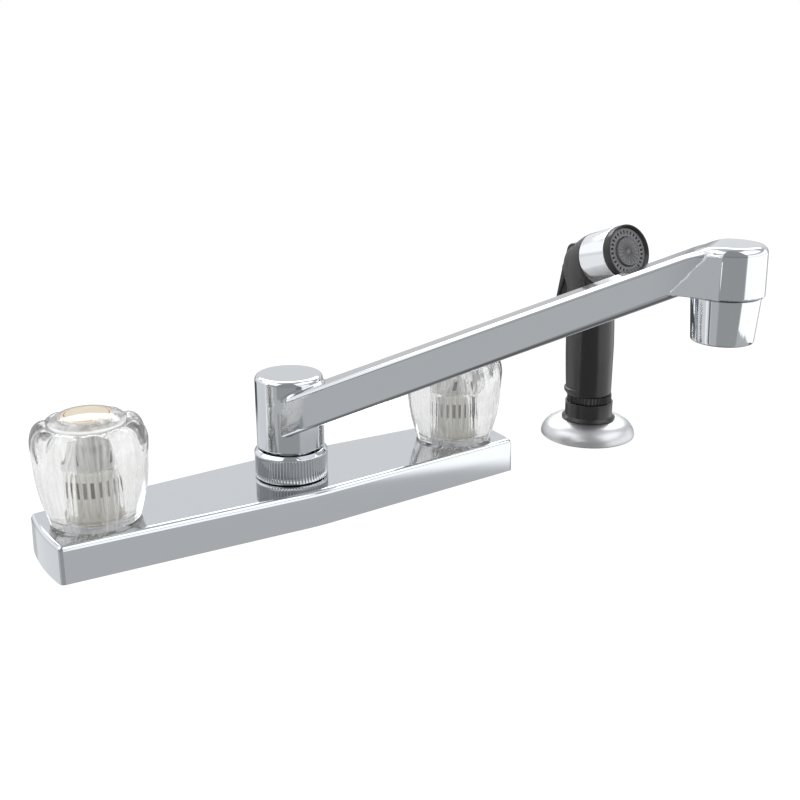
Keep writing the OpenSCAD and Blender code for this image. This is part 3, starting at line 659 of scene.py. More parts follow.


# %% [markdown]
# The other finishes differ in numbers alone. One fine noise gives each its two tones, lets its roughness
# vary and, where the real surface is cast or sanded, raises a faint bump. The post's brass is painted near
# black, as painted shade for the gap where it stands.


# %% Finishes with a grain
def grained(name, dark, pale, scale, rough, more_rough, detail=3.0, metal=0.0, bump=None):
    """A tone from dark to pale, a roughness of rough + more_rough * noise, and a bump (height, strength)."""
    def shade(shader):
        grain = shader.noise(scale, detail)
        sockets = {"Base_Color": shader.mix(grain, colour(*dark), colour(*pale)),
                   "Roughness": rough + grain * more_rough, "Metallic": metal}
        if bump:
            sockets["Normal"] = shader.bump(grain, *bump)
        return shader.node("ShaderNodeBsdfPrincipled", **sockets)
    return material(name, shade)


face_plastic = grained("face_plastic", (0.10, 0.10, 0.105), (0.15, 0.15, 0.155), 1800.0, 0.35, 0.15)
cream = grained("cream_plastic", (0.78, 0.74, 0.62), (0.86, 0.83, 0.72), 900.0, 0.4, 0.15)
white_plastic = grained("white_plastic", (0.78, 0.78, 0.76), (0.86, 0.86, 0.84), 1200.0, 0.38, 0.12,
                        bump=(0.00001, 0.4))
rubber = grained("rubber", (0.018, 0.018, 0.018), (0.03, 0.03, 0.03), 1300.0, 0.6, 0.2, detail=4.0,
                 bump=(0.00003, 0.6))
brass = grained("brass", (0.62, 0.44, 0.20), (0.74, 0.56, 0.29), 700.0, 0.28, 0.12, metal=1.0,
                bump=(0.00002, 0.5))
steel = grained("steel", (0.46, 0.47, 0.48), (0.60, 0.61, 0.62), 1100.0, 0.25, 0.15, metal=1.0,
                bump=(0.00002, 0.5))
copper = grained("copper", (0.66, 0.34, 0.20), (0.80, 0.46, 0.30), 400.0, 0.25, 0.2, detail=4.0, metal=1.0)
# brass painted near black: painted shade for the post in the gap under the nut
brass_in_painted_shade = grained("brass_in_painted_shade", (0.05, 0.04, 0.03), (0.09, 0.07, 0.05), 700.0, 0.4, 0.12, metal=1.0)
print("finishes ready:", len(bpy.data.materials))

# %% [markdown]
# The deck plate is one pressed and plated cover. Seen from above it is a long hexagon whose ends bow out.
# Its skin is a grid: one parameter runs round the outline, the other runs along the wall's section, from
# the foot over the rounded top edge. Rows further up the edge are drawn in, and their corner arcs get
# smaller with them.


# %% Outline of the deck plate
plate_half, plate_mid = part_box("deck_plate")[1][:2]
plate_end = 22.7 * mm
plate_edge = 2.5 * mm
plate_draft = 0.4 * mm
plate_wall = 1.8 * mm
plate_corner = 2.6 * mm
corner_shrink = 0.55
middle_bend = 150 * mm


def plate_quarter(inset, corner):
    """A quarter of the plate's outline, from the middle of the long side to the middle of the end, drawn in
    by inset. The side bends gently at its middle and is straight from there, the end is an arc round the
    spout, and an arc of radius corner joins them."""
    slope = math.atan2(plate_mid - plate_end, plate_half)
    normal = np.array([math.sin(slope), math.cos(slope)])
    offset = plate_mid * normal[1] - inset
    end_radius = plate_half - inset
    bend_angle = np.linspace(0, slope, 7)
    bend_centre = offset / normal[1] - middle_bend / normal[1]
    bend = np.stack([middle_bend * np.sin(bend_angle), bend_centre + middle_bend * np.cos(bend_angle)], 1)
    along = np.array([normal[1], -normal[0]])
    far = math.sqrt((end_radius - corner) ** 2 - (offset - corner) ** 2)
    centre = normal * (offset - corner) + along * far
    end_angle = math.atan2(centre[1], centre[0])
    side_angle = math.atan2(normal[1], normal[0])
    corner_angle = np.linspace(side_angle, end_angle, 9)
    arc = centre + corner * np.stack([np.cos(corner_angle), np.sin(corner_angle)], 1)
    end = np.linspace(end_angle, 0, 12)[1:]
    bow = end_radius * np.stack([np.cos(end), np.sin(end)], 1)
    straight = bend[-1] + (arc[0] - bend[-1]) * np.linspace(0, 1, 14)[1:-1, None]
    return np.concatenate([bend, straight, arc, bow])


def plate_outline(inset, corner):
    """The quarter and its three mirror images, as one closed line."""
    quarter = plate_quarter(inset, corner)
    front = quarter[::-1][1:] * [1, -1]
    right = np.concatenate([quarter, front])
    left = right[::-1][1:-1] * [-1, 1]
    return np.concatenate([right, left])


# %% Skin of the deck plate
def plate_row(inset, z):
    """One row of the skin: the outline drawn in by inset, with its smaller corners, at the height z."""
    line = plate_outline(inset, plate_corner - corner_shrink * inset)
    return np.column_stack([line, np.full(len(line), z)])


inner_top = deck_top - plate_wall
inner = plate_draft + plate_wall
rows = [(inner, inner_top), (inner, 0), (0, 0), (plate_draft * 0.5, deck_top * 0.45)]
for turn in np.linspace(0, math.pi / 2, 9):
    drawn_in = plate_draft + plate_edge * (1 - math.cos(turn))
    rows.append((drawn_in, deck_top - plate_edge * (1 - math.sin(turn))))
plate_points = np.array([plate_row(inset, z) for inset, z in rows])
ring_count = plate_points.shape[1]
plate_mesh = quad_mesh("deck_shell", plate_points.reshape(-1, 3),
                       grid_faces(len(plate_points), ring_count, False, True))
print("deck plate:", len(rows), "rows of", ring_count, "points")

# %% [markdown]
# The top has three round holes, for the two cartridges and the spout's post. A fill spans the flat between
# the outline and the holes, above and below, and short walls join the two rims of each hole.


# %% Holes of the deck plate
def hole_ring(x, hole, z, sides=96):
    angle = np.linspace(0, 2 * math.pi, sides, endpoint=False)
    return np.stack([x + hole * np.cos(angle), hole * np.sin(angle), np.full(sides, z)], 1)


hole_gap = 0.4 * mm
cartridge_room = 2.4 * mm
post_neck_r = 15.6 * mm
holes = [(hot[0], radius("hot_cartridge") + cartridge_room + hole_gap), (0, post_neck_r + hole_gap),
         (cold[0], radius("cold_cartridge") + cartridge_room + hole_gap)]
work = bmesh.new()
work.from_mesh(plate_mesh)
work.verts.ensure_lookup_table()
outer_ring = [work.verts[len(work.verts) - ring_count + i] for i in range(ring_count)]
inner_ring = [work.verts[i] for i in range(ring_count)]
for z, border in ((deck_top, outer_ring), (inner_top, inner_ring)):
    edges = [work.edges.get((a, b)) for a, b in zip(border, border[1:] + border[:1])]
    for x, hole in holes:
        ring = [work.verts.new(p) for p in hole_ring(x, hole, z)]
        edges += [work.edges.new((a, b)) for a, b in zip(ring, ring[1:] + ring[:1])]
    bmesh.ops.triangle_fill(work, use_beauty=True, use_dissolve=False, edges=edges)
for x, hole in holes:
    rims = []
    for z in (deck_top, inner_top):
        rims.append([v for v in work.verts if abs(v.co.z - z) < 1e-7
                     and abs(math.hypot(v.co.x - x, v.co.y) - hole) < 1e-6])
        rims[-1].sort(key=lambda v: math.atan2(v.co.y, v.co.x - x))
    upper, lower = rims
    for a, b, c, d in zip(upper, upper[1:] + upper[:1], lower[1:] + lower[:1], lower):
        work.faces.new((a, b, c, d))
bmesh.ops.recalc_face_normals(work, faces=work.faces)
work.to_mesh(plate_mesh)
work.free()
deck_shell = add_mesh(plate_mesh, "base", chrome, "deck_plate")


# %% Flat shading
def keep_flat_faces_flat(piece, angle=35):
    """Splits the shading where two faces meet at more than the angle, and weighs each normal by face area, so
    that a large flat face stays flat up to its rounded edge."""
    with bpy.context.temp_override(object=piece, active_object=piece, selected_objects=[piece],
                                   selected_editable_objects=[piece]):
        bpy.ops.object.shade_smooth_by_angle(angle=math.radians(angle))
    weights = piece.modifiers.new("weights", "WEIGHTED_NORMAL")
    weights.keep_sharp = True
    weights.weight = 50


keep_flat_faces_flat(deck_shell)
print("deck plate is", round(2 * plate_half / mm, 1), "mm long and", round(2 * plate_mid / mm, 1), "mm deep")

# %% [markdown]
# The spout is one casting: an upright hub, a flat-sided arm that rises and narrows, and an outlet head that
# a small web joins to the arm. A bore takes the aerator, and a socket below the hub goes over the post. The
# field works in the spout's own frame, with u along the arm and w across it, and the finished skin is
# turned to the arm's place.

# %% Sizes of the spout
nut_gap = 1.2 * mm
hub_low = top("spout_nut") + nut_gap
hub_top = 71.4 * mm
hub_r = 17 * mm
hub_edge = 2.6 * mm
hub_rim = 0.8 * mm
stub_low, stub_r = bottom("spout"), 12 * mm
aerator_depth = 8 * mm
tip_low = top("aerator_housing") - aerator_depth
tip_top = top("spout")
tip_r = 14.9 * mm
tip_edge = 3.2 * mm
tip_taper = 0.5 * mm
arm_start = {"w": 32.8 * mm, "h": 20.8 * mm, "top": 60.4 * mm}
arm_end = {"w": 25.2 * mm, "h": 16 * mm, "top": 155.4 * mm}
arm_edge = 2.6 * mm
tip_foot, tip_foot_edge = 5 * mm, 0.6 * mm
web_len = 5.1 * mm
web_slope = math.radians(50)
bore_r, bore_top = 11.9 * mm, tip_low + 9 * mm
socket_r, socket_top = 8.5 * mm, 50 * mm
overlap, small_edge = 5 * mm, 0.3 * mm
end_fillet, tip_fillet, web_fillet, joint_fillet = 5 * mm, 2 * mm, 0.8 * mm, 0.25 * mm
hub_fillet, hub_fillet_gain = 0.1, 2.4
slope_cos = math.cos(math.atan2(arm_end["top"] - arm_start["top"], reach))
print("the arm rises at", round(math.degrees(math.acos(slope_cos)), 1), "degrees")


# %% Form of the spout
def arm_at(share, name):
    return arm_start[name] + (arm_end[name] - arm_start[name]) * share


def post_field(u, w, z, r, low, high, edge):
    """The distance to an upright round post with rounded rims."""
    return box_field(np.hypot(u, w), z - (low + high) / 2, r, (high - low) / 2, edge)


def spout_field(u, w, z):
    """The smooth sum of hub, arm, head and web, less the outlet's bore and the post's socket."""
    hub = post_field(u, w, z, hub_r, hub_low - 2 * overlap, hub_top, hub_edge)
    hub = cut(hub, z - hub_low, hub_rim)
    stub = post_field(u, w, z, stub_r, stub_low, hub_low + overlap, 0.5 * mm)
    share = np.clip(u / reach, 0, 1)
    height = arm_at(share, "h")
    centre = arm_at(share, "top") - height / 2
    arm = box_field(w, (z - centre) * slope_cos, arm_at(share, "w") / 2, height / 2 * slope_cos, arm_edge)
    arm = np.maximum(np.maximum(arm, -u), u - reach)
    arm = -join(-arm, -(z - tip_top), end_fillet)
    rise = np.clip((z - tip_low) / (tip_top - tip_low), 0, 1)
    out = np.hypot(u - reach, w) + tip_taper * rise
    head = box_field(out, z - (tip_top + tip_low) / 2, tip_r, (tip_top - tip_low) / 2, tip_edge)
    head = np.minimum(head, box_field(out, z - (tip_low + tip_foot), tip_r, tip_foot, tip_foot_edge))
    over_arm = (z - arm_at(share, "top")) * slope_cos
    head = -join(-head, -over_arm, tip_fillet)
    web_start = reach - tip_r - web_len
    half_start = arm_at(web_start / reach, "w") / 2
    flare = math.atan2(tip_r - half_start, web_len + tip_r)
    side = (np.abs(w) - half_start) * math.cos(flare) - (u - web_start) * math.sin(flare)
    roof = (z - tip_low) * math.cos(web_slope) - (u - web_start) * math.sin(web_slope)
    web = np.maximum(np.maximum(side, roof), np.maximum(tip_low - z, np.maximum(web_start - u, u - reach)))
    web = np.maximum(web, z - tip_top + tip_edge)
    near_top = np.clip((z - centre) / (height / 2) - 0.3, 0, 1)
    body = join(hub, arm, (hub_fillet + hub_fillet_gain * near_top) * mm)
    body = join(body, join(head, web, web_fillet), joint_fillet)
    body = np.minimum(body, stub)
    bore = post_field(u - reach, w, z, bore_r, tip_low - overlap, bore_top, small_edge)
    socket = post_field(u, w, z, socket_r, stub_low - overlap, socket_top, small_edge)
    return np.maximum(body, -np.minimum(bore, socket))


# %% Skin of the spout
margin = 1.5 * mm
skin_step = 0.6 * mm
spout_low = np.array([-hub_r, -hub_r, stub_low]) - margin
spout_high = np.array([reach + tip_r, hub_r, tip_top]) + margin
spout_mesh = field_skin("spout_casting", spout_field, spout_low, spout_high, skin_step, spout_turn)
add_mesh(spout_mesh, "spout_arm", chrome, "spout")

# %% [markdown]
# The knurled nut under the hub is turned, and its grip ribs are pressed round it. The skin is a turned
# profile whose radius also swings with the angle, one swing for each rib, and the swing fades out towards
# both rims. The long straight wall needs points of its own between its two ends, for the ribs to fade at
# the right height.

# %% Spout nut
nut_drop = 0.7 * mm
nut_low, nut_top = bottom("spout_nut") - nut_drop, top("spout_nut")
nut_r = radius("spout_nut")
nut_rim, nut_foot = 2.0 * mm, 1.2 * mm
nut_chamfer = 1.6 * mm
lip_bore, lip_low = 12.4 * mm, nut_top - 1.8 * mm
thread_r = 15.7 * mm
knurl_count = 72
knurl_depth, knurl_fade = 0.8 * mm, 0.5 * mm


# %% Shape of the nut's ribs
def knurl(angle, r, z):
    """r less the knurl's depth times a wave of the angle, only on the wall between the two rims."""
    below_rim = np.clip((nut_top - nut_rim - z) / knurl_fade, 0, 1)
    fade = below_rim * np.clip((z - nut_low - nut_foot) / knurl_fade, 0, 1)
    wave = 0.5 - 0.5 * np.cos(knurl_count * angle)
    wall = r > nut_r - 0.2 * mm
    return r - knurl_depth * fade * wave * wall


# %% Skin of the nut
nut_profile = rounded(
    [(lip_bore, lip_low), (lip_bore, nut_top), (nut_r - nut_chamfer, nut_top), (nut_r, nut_top - nut_chamfer),
     (nut_r, nut_low), (thread_r, nut_low), (thread_r, lip_low), (lip_bore, lip_low)],
    [0, 0.3 * mm, 0.7 * mm, 0.7 * mm, 0.5 * mm, 0, 0, 0], steps=5)
wall_z = np.linspace(nut_top - 2.2 * mm, nut_low + 0.6 * mm, 15)
wall_points = np.stack([np.full(len(wall_z), nut_r), wall_z], 1)
on_wall = np.abs(nut_profile[:, 0] - nut_r) < 1e-9
wall_start = np.flatnonzero(on_wall[:-1] & on_wall[1:])[0] + 1
nut_profile = np.concatenate([nut_profile[:wall_start], wall_points, nut_profile[wall_start:]])
add_mesh(turned("knurled_nut", nut_profile, (0, 0), 720, swell=knurl), "base", chrome, "spout_nut")

# %% [markdown]
# The aerator's housing is a tapered sleeve with a small rolled foot. Inside its lip sit the screen and
# insert.

# %% Aerator housing
sleeve_low, sleeve_top = bottom("aerator_housing"), tip_low - 0.4 * mm
sleeve_r, sleeve_foot_r, sleeve_mouth_r = 13.7 * mm, 12.3 * mm, 7.6 * mm
sleeve_lip = sleeve_low + 2 * mm
sleeve_bead = sleeve_low + 1.6 * mm
screwed_top = top("aerator_housing")
screwed_r, screwed_bore = 11.8 * mm, 10 * mm
aerator_profile = rounded(
    [(sleeve_mouth_r, sleeve_lip), (sleeve_mouth_r, sleeve_low), (sleeve_foot_r, sleeve_low),
     (sleeve_foot_r + 0.15 * mm, sleeve_bead), (sleeve_r, sleeve_top), (screwed_r, sleeve_top),
     (screwed_r, screwed_top), (screwed_bore, screwed_top), (screwed_bore, sleeve_lip),
     (sleeve_mouth_r, sleeve_lip)],
    [0, 0.6 * mm, 0.9 * mm, 0.3 * mm, 0.5 * mm, 0, 0.4 * mm, 0.4 * mm, 0, 0], steps=6)
aerator_sleeve = turned("aerator_sleeve", aerator_profile, outlet, 160)
add_mesh(aerator_sleeve, "spout_arm", chrome, "aerator_housing")

# %% [markdown]
# Each handle is one thick piece of clear acrylic. Its wall is a closed profile that runs from the foot up
# the outside, over the shoulder, down into the cap's seat and the screw's well, and back down through the
# bore. Ten round lobes stand on the shoulder. The grooves between them are deep there, and run on faintly
# down the side. They push the profile inwards along its own normal, so that they cut the side and the top
# alike. Such a handle is never quite clear: it has fine flutes and a milky share that follows a noise, and
# the grey and white streaks that run down it are painted light and shade, in place of the streaks that its
# flutes and grooves refract.


# %% Smooth curves
def curve_through(points, steps):
    """A smooth curve through the points, by the Catmull-Rom formula: each stretch is a cubic whose slope at
    both ends is half the way between the point's neighbours."""
    points = np.array(points, float)
    before = np.concatenate([2 * points[:1] - points[1:2], points, 2 * points[-1:] - points[-2:-1]])
    a, b, c, d = before[:-3, None], before[1:-2, None], before[2:-1, None], before[3:, None]
    t = np.linspace(0, 1, steps, endpoint=False)[None, :, None]
    squared, cubed = 2 * a - 5 * b + 4 * c - d, 3 * b - a - 3 * c + d
    line = 0.5 * (2 * b + (c - a) * t + squared * t ** 2 + cubed * t ** 3)
    return np.concatenate([line.reshape(-1, points.shape[1]), points[-1:]])


def even_line(points, gap):
    """The same line with points at even distances, at most gap apart."""
    length = np.concatenate([[0], np.cumsum(np.linalg.norm(np.diff(points, axis=0), axis=1))])
    count = max(2, int(math.ceil(length[-1] / gap)) + 1)
    spots = np.linspace(0, length[-1], count)
    return np.stack([np.interp(spots, length, points[:, axis]) for axis in range(points.shape[1])], 1)


# %% Sizes of the handles
handle_low, handle_top = bottom("hot_handle"), top("hot_handle")
handle_height = handle_top - handle_low
handle_r = radius("hot_handle")
handle_foot_r = handle_r * 0.79
core_low, core_top = bottom("hot_core"), top("hot_core")
core_r = radius("hot_core")
seat_z = bottom("hot_cap")
cap_r = radius("hot_cap")
cavity_r = 14.3 * mm
well_r = 9 * mm
foot_round = 1.2 * mm
lobe_count = 10
groove_depth = 1.9 * mm
faint_share, lobe_share = 0.07, 0.93
lobe_low, lobe_rise = 0.55, 0.35
fine_count, fine_depth = 60, 0.018 * mm
vent_count, vent_half, vent_z = 6, 1.5 * mm, seat_z - 13.2 * mm
side_shares = [(0.79, 0.03), (0.89, 0.237), (0.92, 0.322), (0.943, 0.407), (0.958, 0.493), (0.966, 0.578),
               (0.981, 0.663), (1.0, 0.76), (0.998, 0.825), (0.97, 0.9), (0.917, 0.955), (0.845, 0.988),
               (0.765, 1.0), (0.693, 0.992), (0.661, 0.975)]
print("a handle is", round(2 * handle_r / mm, 1), "mm wide and", round(handle_height / mm, 1), "mm high")


# %% Profile and lobes
def handle_profile():
    """The closed profile of the acrylic, and how deep the grooves cut at each of its points: a faint share
    from the foot up, and the rest of it on the lobes, which fades out towards the cap."""
    side = curve_through([(r * handle_r, handle_low + z * handle_height) for r, z in side_shares], 8)
    foot = rounded([(cavity_r, handle_low), (handle_foot_r, handle_low), side[0] + [0, foot_round]],
                   [0, foot_round, 0], 5)
    outer = even_line(np.concatenate([foot[:-1], side]), 0.8 * mm)
    share = np.clip((outer[:, 1] - handle_low) / handle_height, 0, 1)
    faint, strong = np.clip(share / 0.2, 0, 1), np.clip((share - lobe_low) / lobe_rise, 0, 1) ** 1.4
    depth = groove_depth * (faint_share * faint + lobe_share * strong)
    depth *= np.clip((outer[:, 0] - cap_r - 0.4 * mm) / (2.5 * mm), 0, 1)
    inner = rounded([outer[-1], (cap_r + 0.35 * mm, seat_z), (well_r, seat_z), (well_r, core_top),
                     (core_r - 0.05 * mm, core_top), (core_r - 0.05 * mm, core_low), (cavity_r, core_low),
                     (cavity_r, handle_low)], [0, 0.5 * mm, 0.4 * mm, 0.4 * mm, 0, 0, 0.6 * mm, 0], 3)
    inner = even_line(inner, 1.2 * mm)
    profile = np.concatenate([outer, inner[1:-1]])
    return profile, np.concatenate([depth, np.zeros(len(profile) - len(outer))])


def lobed_points(centre, first_lobe, sides=480):
    """The profile moved inwards along its normal by depth * (1 - |cos(count * angle / 2)|), which is a row of
    round lobes with a sharp groove between each two."""
    profile, depth = handle_profile()
    along = np.roll(profile, -1, 0) - np.roll(profile, 1, 0)
    along /= np.linalg.norm(along, axis=1)[:, None]
    normal = np.stack([along[:, 1], -along[:, 0]], 1)
    angle = np.linspace(0, 2 * math.pi, sides, endpoint=False)[:, None]
    wave = np.abs(np.cos(lobe_count * (angle - first_lobe) / 2))
    groove = 1 - np.sqrt(wave ** 2 + 0.002) ** 0.9
    fine = 0.5 - 0.5 * np.cos(fine_count * angle)
    dent = depth[None] * groove + fine_depth * fine * (profile[None, :, 0] > cap_r + 2 * mm)
    r = profile[None, :, 0] - dent * normal[None, :, 0]
    z = profile[None, :, 1] - dent * normal[None, :, 1]
    return np.stack([centre[0] + r * np.cos(angle), centre[1] + r * np.sin(angle), z], -1)


# %% Streaked acrylic
def streaked_acrylic(centre):
    """Clear acrylic with a milky share whose grey and white streaks are painted light and shade, and a milky
    wall round the screw's well with a row of vents painted dark as shade.
    """
    def shade(shader):
        turn, away, z = shader.round_axis(centre)
        # the grey and white streaks are painted light and shade, in place of the streaks that the flutes
        # refract
        wide = shader.streaks(centre, 5.0, 25.0)
        thin = shader.streaks(centre, 14.0, 12.0)
        tone = shader.mix(thin.between(0.35, 0.65), colour(0.60, 0.60, 0.60), colour(0.95, 0.95, 0.94))
        milky = 0.05 + wide.between(0.35, 0.7) * 0.14 + thin.between(0.4, 0.62) * 0.14
        # the vents' dark colour is painted shade
        painted_vent_shade = (turn * vent_count + math.radians(60)).math("COSINE").between(0.9, 0.95)
        on_well = away.band(well_r, 0.3 * mm, 0.1 * mm)
        painted_vent_shade = painted_vent_shade * z.band(vent_z, vent_half, 0.3 * mm) * on_well
        tone = shader.mix(painted_vent_shade, tone, colour(0.05, 0.045, 0.04))
        milk = shader.node("ShaderNodeBsdfPrincipled", Base_Color=tone, Roughness=0.25)
        clear = clear_glass(shader, (0.9, 0.905, 0.9))
        milky_wall = on_well * z.between(core_top, core_top + 0.5 * mm) * 0.6
        return shader.blend(milky.math("MAXIMUM", milky_wall).math("MAXIMUM", painted_vent_shade), clear, milk)
    return shade


# %% Both handles
sides_of_faucet = (("hot", hot, "hot_knob"), ("cold", cold, "cold_knob"))
for side, centre, body in sides_of_faucet:
    shell = grid_mesh(f"{side}_lobed_handle", lobed_points(centre, math.radians(6)), True, True)
    finish = material(f"{side}_streaked_acrylic", streaked_acrylic(centre))
    add_mesh(shell, body, finish, f"{side}_handle")

# %% [markdown]
# Through the acrylic shows a cream core that locks on the stem. Flutes run down it and end in round tips
# above its foot. Its colour holds painted light: the flute tips near the foot are painted pale as a
# highlight, a row of slots through its wall is painted dark as the shade inside them, and a row of pale arcs
# along its top is a painted highlight. The acrylic touches the core, so that it shows wider.


# %% Cores
flute_count = 20
flute_depth = 0.6 * mm
flute_low, flute_tip, flute_fade = 2.2, 3.5, 1.2 * mm
core_bore, core_mid = 4.2 * mm, core_low + 2 * mm
slots_z, slots_half = core_low + 15.3 * mm, 3.3 * mm
arcs_z, arcs_half, arcs_rise = core_top - 0.5 * mm, 0.35 * mm, 1.2 * mm


def core_mesh(name, centre):
    """A turned skin whose wall is drawn in by flute_depth * (0.5 - 0.5 cos(count * angle)), between
    the flutes' round lower tips and the top."""
    profile = rounded([(core_bore, core_mid), (core_bore, core_low), (core_r, core_low), (core_r, core_top),
                       (core_bore, core_top), (core_bore, core_mid)],
                      [0, 0.2 * mm, 0.4 * mm, 0.4 * mm, 0.2 * mm, 0], 4)

    def flute(angle, r, z):
        wave = (0.5 - 0.5 * np.cos(flute_count * angle)) ** 1.6
        tip = np.clip((z - core_low - (flute_low + flute_tip * (1 - wave)) * mm) / flute_fade, 0, 1)
        return r - flute_depth * wave * tip * (r > core_r - 0.3 * mm)

    return turned(name, even_line(profile, 0.7 * mm), centre, 480, swell=flute)


# %% Finish of the cores
def core_shade(centre):
    """Cream, with painted highlights on the flute tips near the foot and in a row of arcs along the top, and
    painted shade in the slots between the flutes.
    """
    def shade(shader):
        grain = shader.noise(900.0, detail=3.0)
        turn, away, z = shader.round_axis(centre)
        wave = (turn * flute_count).math("COSINE")
        row = z.band(slots_z, slots_half, 0.6 * mm)
        # the row of pale arcs along the top is a painted highlight
        edge_line = z + (turn * (flute_count / 2)).math("SINE").math("ABSOLUTE") * arcs_rise
        arc_highlight = edge_line.band(arcs_z, arcs_half, 0.2 * mm)
        # the pale flute tips near the foot are a painted highlight
        groove = wave.between(-0.35, -0.8) * (z - core_low).between(3.2 * mm, 6 * mm)
        # the slots are painted dark, with streaks, as the shade inside them
        dark = shader.mix(shader.streaks(centre, 12.0, 60.0),
                          colour(0.04, 0.03, 0.025), colour(0.26, 0.23, 0.20))
        tone = shader.mix(grain, colour(0.76, 0.745, 0.66), colour(0.83, 0.815, 0.74))
        tone = shader.mix(groove * 0.85, tone, colour(0.99, 0.99, 0.98))
        tone = shader.mix(wave.between(0.0, 0.35) * row, tone, dark)
        tone = shader.mix(arc_highlight * 0.9, tone, colour(0.99, 0.99, 0.99))
        return shader.node("ShaderNodeBsdfPrincipled", Base_Color=tone, Roughness=0.35 + grain * 0.15)
    return shade


# %% Both cores
for side, centre, body in sides_of_faucet:
    finish = material(f"{side}_core_cream", core_shade(centre))
    add_mesh(core_mesh(f"{side}_fluted_core", centre), body, finish, f"{side}_core")

# %% [markdown]
# A clear cap closes the top. It is a flat dome with a recess below, where the index button sits. The button
# is cream, and a thin ring near its edge tells hot from cold. Its colour comes from the distance to its
# axis. Cap, button and handle reach into each other by a hair, because a gap of air would mirror the light
# and look dark.


# %% Shape of the caps
cap_top = top("hot_cap")
button_low, button_top, button_r = bottom("hot_button"), top("hot_button"), radius("hot_button")
cap_rim = 1.5 * mm
contact = 0.05 * mm
dome_drops = [(0, 0), (4, 0.14), (8, 0.55), (11, 1.1), (13.5, 2.0), (15.6, 3.2)]
button_rim = button_top - 1.4 * mm
ring_r = 9.6 * mm


def cap_profile():
    """The dome from its middle to the rim, and back below round the button's recess."""
    dome = [(r * mm, cap_top - drop * mm) for r, drop in dome_drops]
    dome = curve_through([*dome, (cap_r - 0.35 * mm, seat_z + cap_rim)], 6)
    below = rounded([dome[-1], (cap_r, seat_z + cap_rim - 0.5 * mm), (cap_r, seat_z - contact),
                     (button_r - contact, seat_z - contact), (button_r - contact, button_top - contact),
                     (0, button_top - contact)], [0, 0.3 * mm, 0.3 * mm, 0, 0, 0], 4)
    return np.concatenate([dome[:-1], even_line(below, 0.8 * mm)])


# %% Finishes of caps and buttons
def cap_shade(centre):
    """Clear, with a white rim that is a painted highlight, and a little haze."""
    def shade(shader):
        turn, away, z = shader.round_axis(centre)
        # the white rim is a painted highlight
        rim = away.between(cap_r - 0.9 * mm, cap_r - 0.2 * mm)
        haze = shader.noise(180.0, detail=2.0).between(0.4, 0.7)
        milk = shader.node("ShaderNodeBsdfPrincipled", Base_Color=colour(0.97, 0.97, 0.97), Roughness=0.25)
        clear = clear_glass(shader, (0.97, 0.97, 0.97))
        beside = away.between(button_r, button_r + 0.8 * mm)
        return shader.blend((rim * 0.85).math("MAXIMUM", beside * (0.15 + haze * 0.3)), clear, milk)
    return shade


def index_shade(centre, ring_colour):
    """Cream with a coloured ring. A little light of its own makes up for what the cap above it swallows."""
    def shade(shader):
        grain = shader.noise(700.0, detail=2.0)
        turn, away, z = shader.round_axis(centre)
        cream_tone = shader.mix(grain, colour(0.98, 0.85, 0.64), colour(1.0, 0.90, 0.72))
        tone = shader.mix(away.band(ring_r, 0.16 * mm, 0.12 * mm), cream_tone, ring_colour)
        return shader.node("ShaderNodeBsdfPrincipled", Base_Color=tone, Roughness=0.3 + grain * 0.1,
                           Emission_Color=tone, Emission_Strength=0.2)
    return shade


# %% Caps and index buttons
ring_colours = {"hot": colour(0.55, 0.10, 0.06), "cold": colour(0.12, 0.22, 0.50)}
for side, centre, body in sides_of_faucet:
    cap = turned(f"{side}_clear_cap", cap_profile(), centre, 192, False)
    finish = material(f"{side}_cap_finish", cap_shade(centre))
    add_mesh(cap, body, finish, f"{side}_cap")
    plug_profile = rounded(
        [(0, button_top), (button_r, button_top), (button_r, button_rim), (well_r - 0.1 * mm, button_rim),
         (well_r - 0.1 * mm, button_low), (0, button_low)], [0, 0.3 * mm, 0.2 * mm, 0.1 * mm, 0.2 * mm, 0], 3)
    button = turned(f"{side}_index", plug_profile, centre, 128, False)
    finish = material(f"{side}_index_finish", index_shade(centre, ring_colours[side]))
    add_mesh(button, body, finish, f"{side}_button")

# %% [markdown]
# The side spray stands in a dome flange of satin nickel. The dome is turned: it rises from a straight foot
# over a quarter round and dips to the collar, which is black plastic with a flared foot and a thin rolled
# lip.

# %% Flange
flange_r, flange_h = radius("spray_flange"), top("spray_flange")
shank_low, collar_top = bottom("spray_holder"), top("spray_holder")
collar_r, shank_r, holder_bore = 14.3 * mm, 13.5 * mm, 10.4 * mm
flange_wall = 1.6 * mm
dome_shares = [(0.965, 0), (0.995, 0.05), (1, 0.13), (0.992, 0.28), (0.958, 0.47), (0.896, 0.67),
               (0.807, 0.83), (0.708, 0.93), (0.604, 0.98), (0.5, 0.99)]
dome_out = curve_through([(r * flange_r, z * flange_h) for r, z in dome_shares], 6)
dome_drop = np.clip(dome_out[::-1, 1] / flange_h, 0, 1) * flange_wall
dome_in = dome_out[::-1] - [flange_wall, 0] - np.stack([0 * dome_drop, dome_drop], 1)
flange = turned("dome_flange", np.concatenate([dome_out, dome_in]), spray, 192)
add_mesh(flange, "base", nickel, "spray_flange")

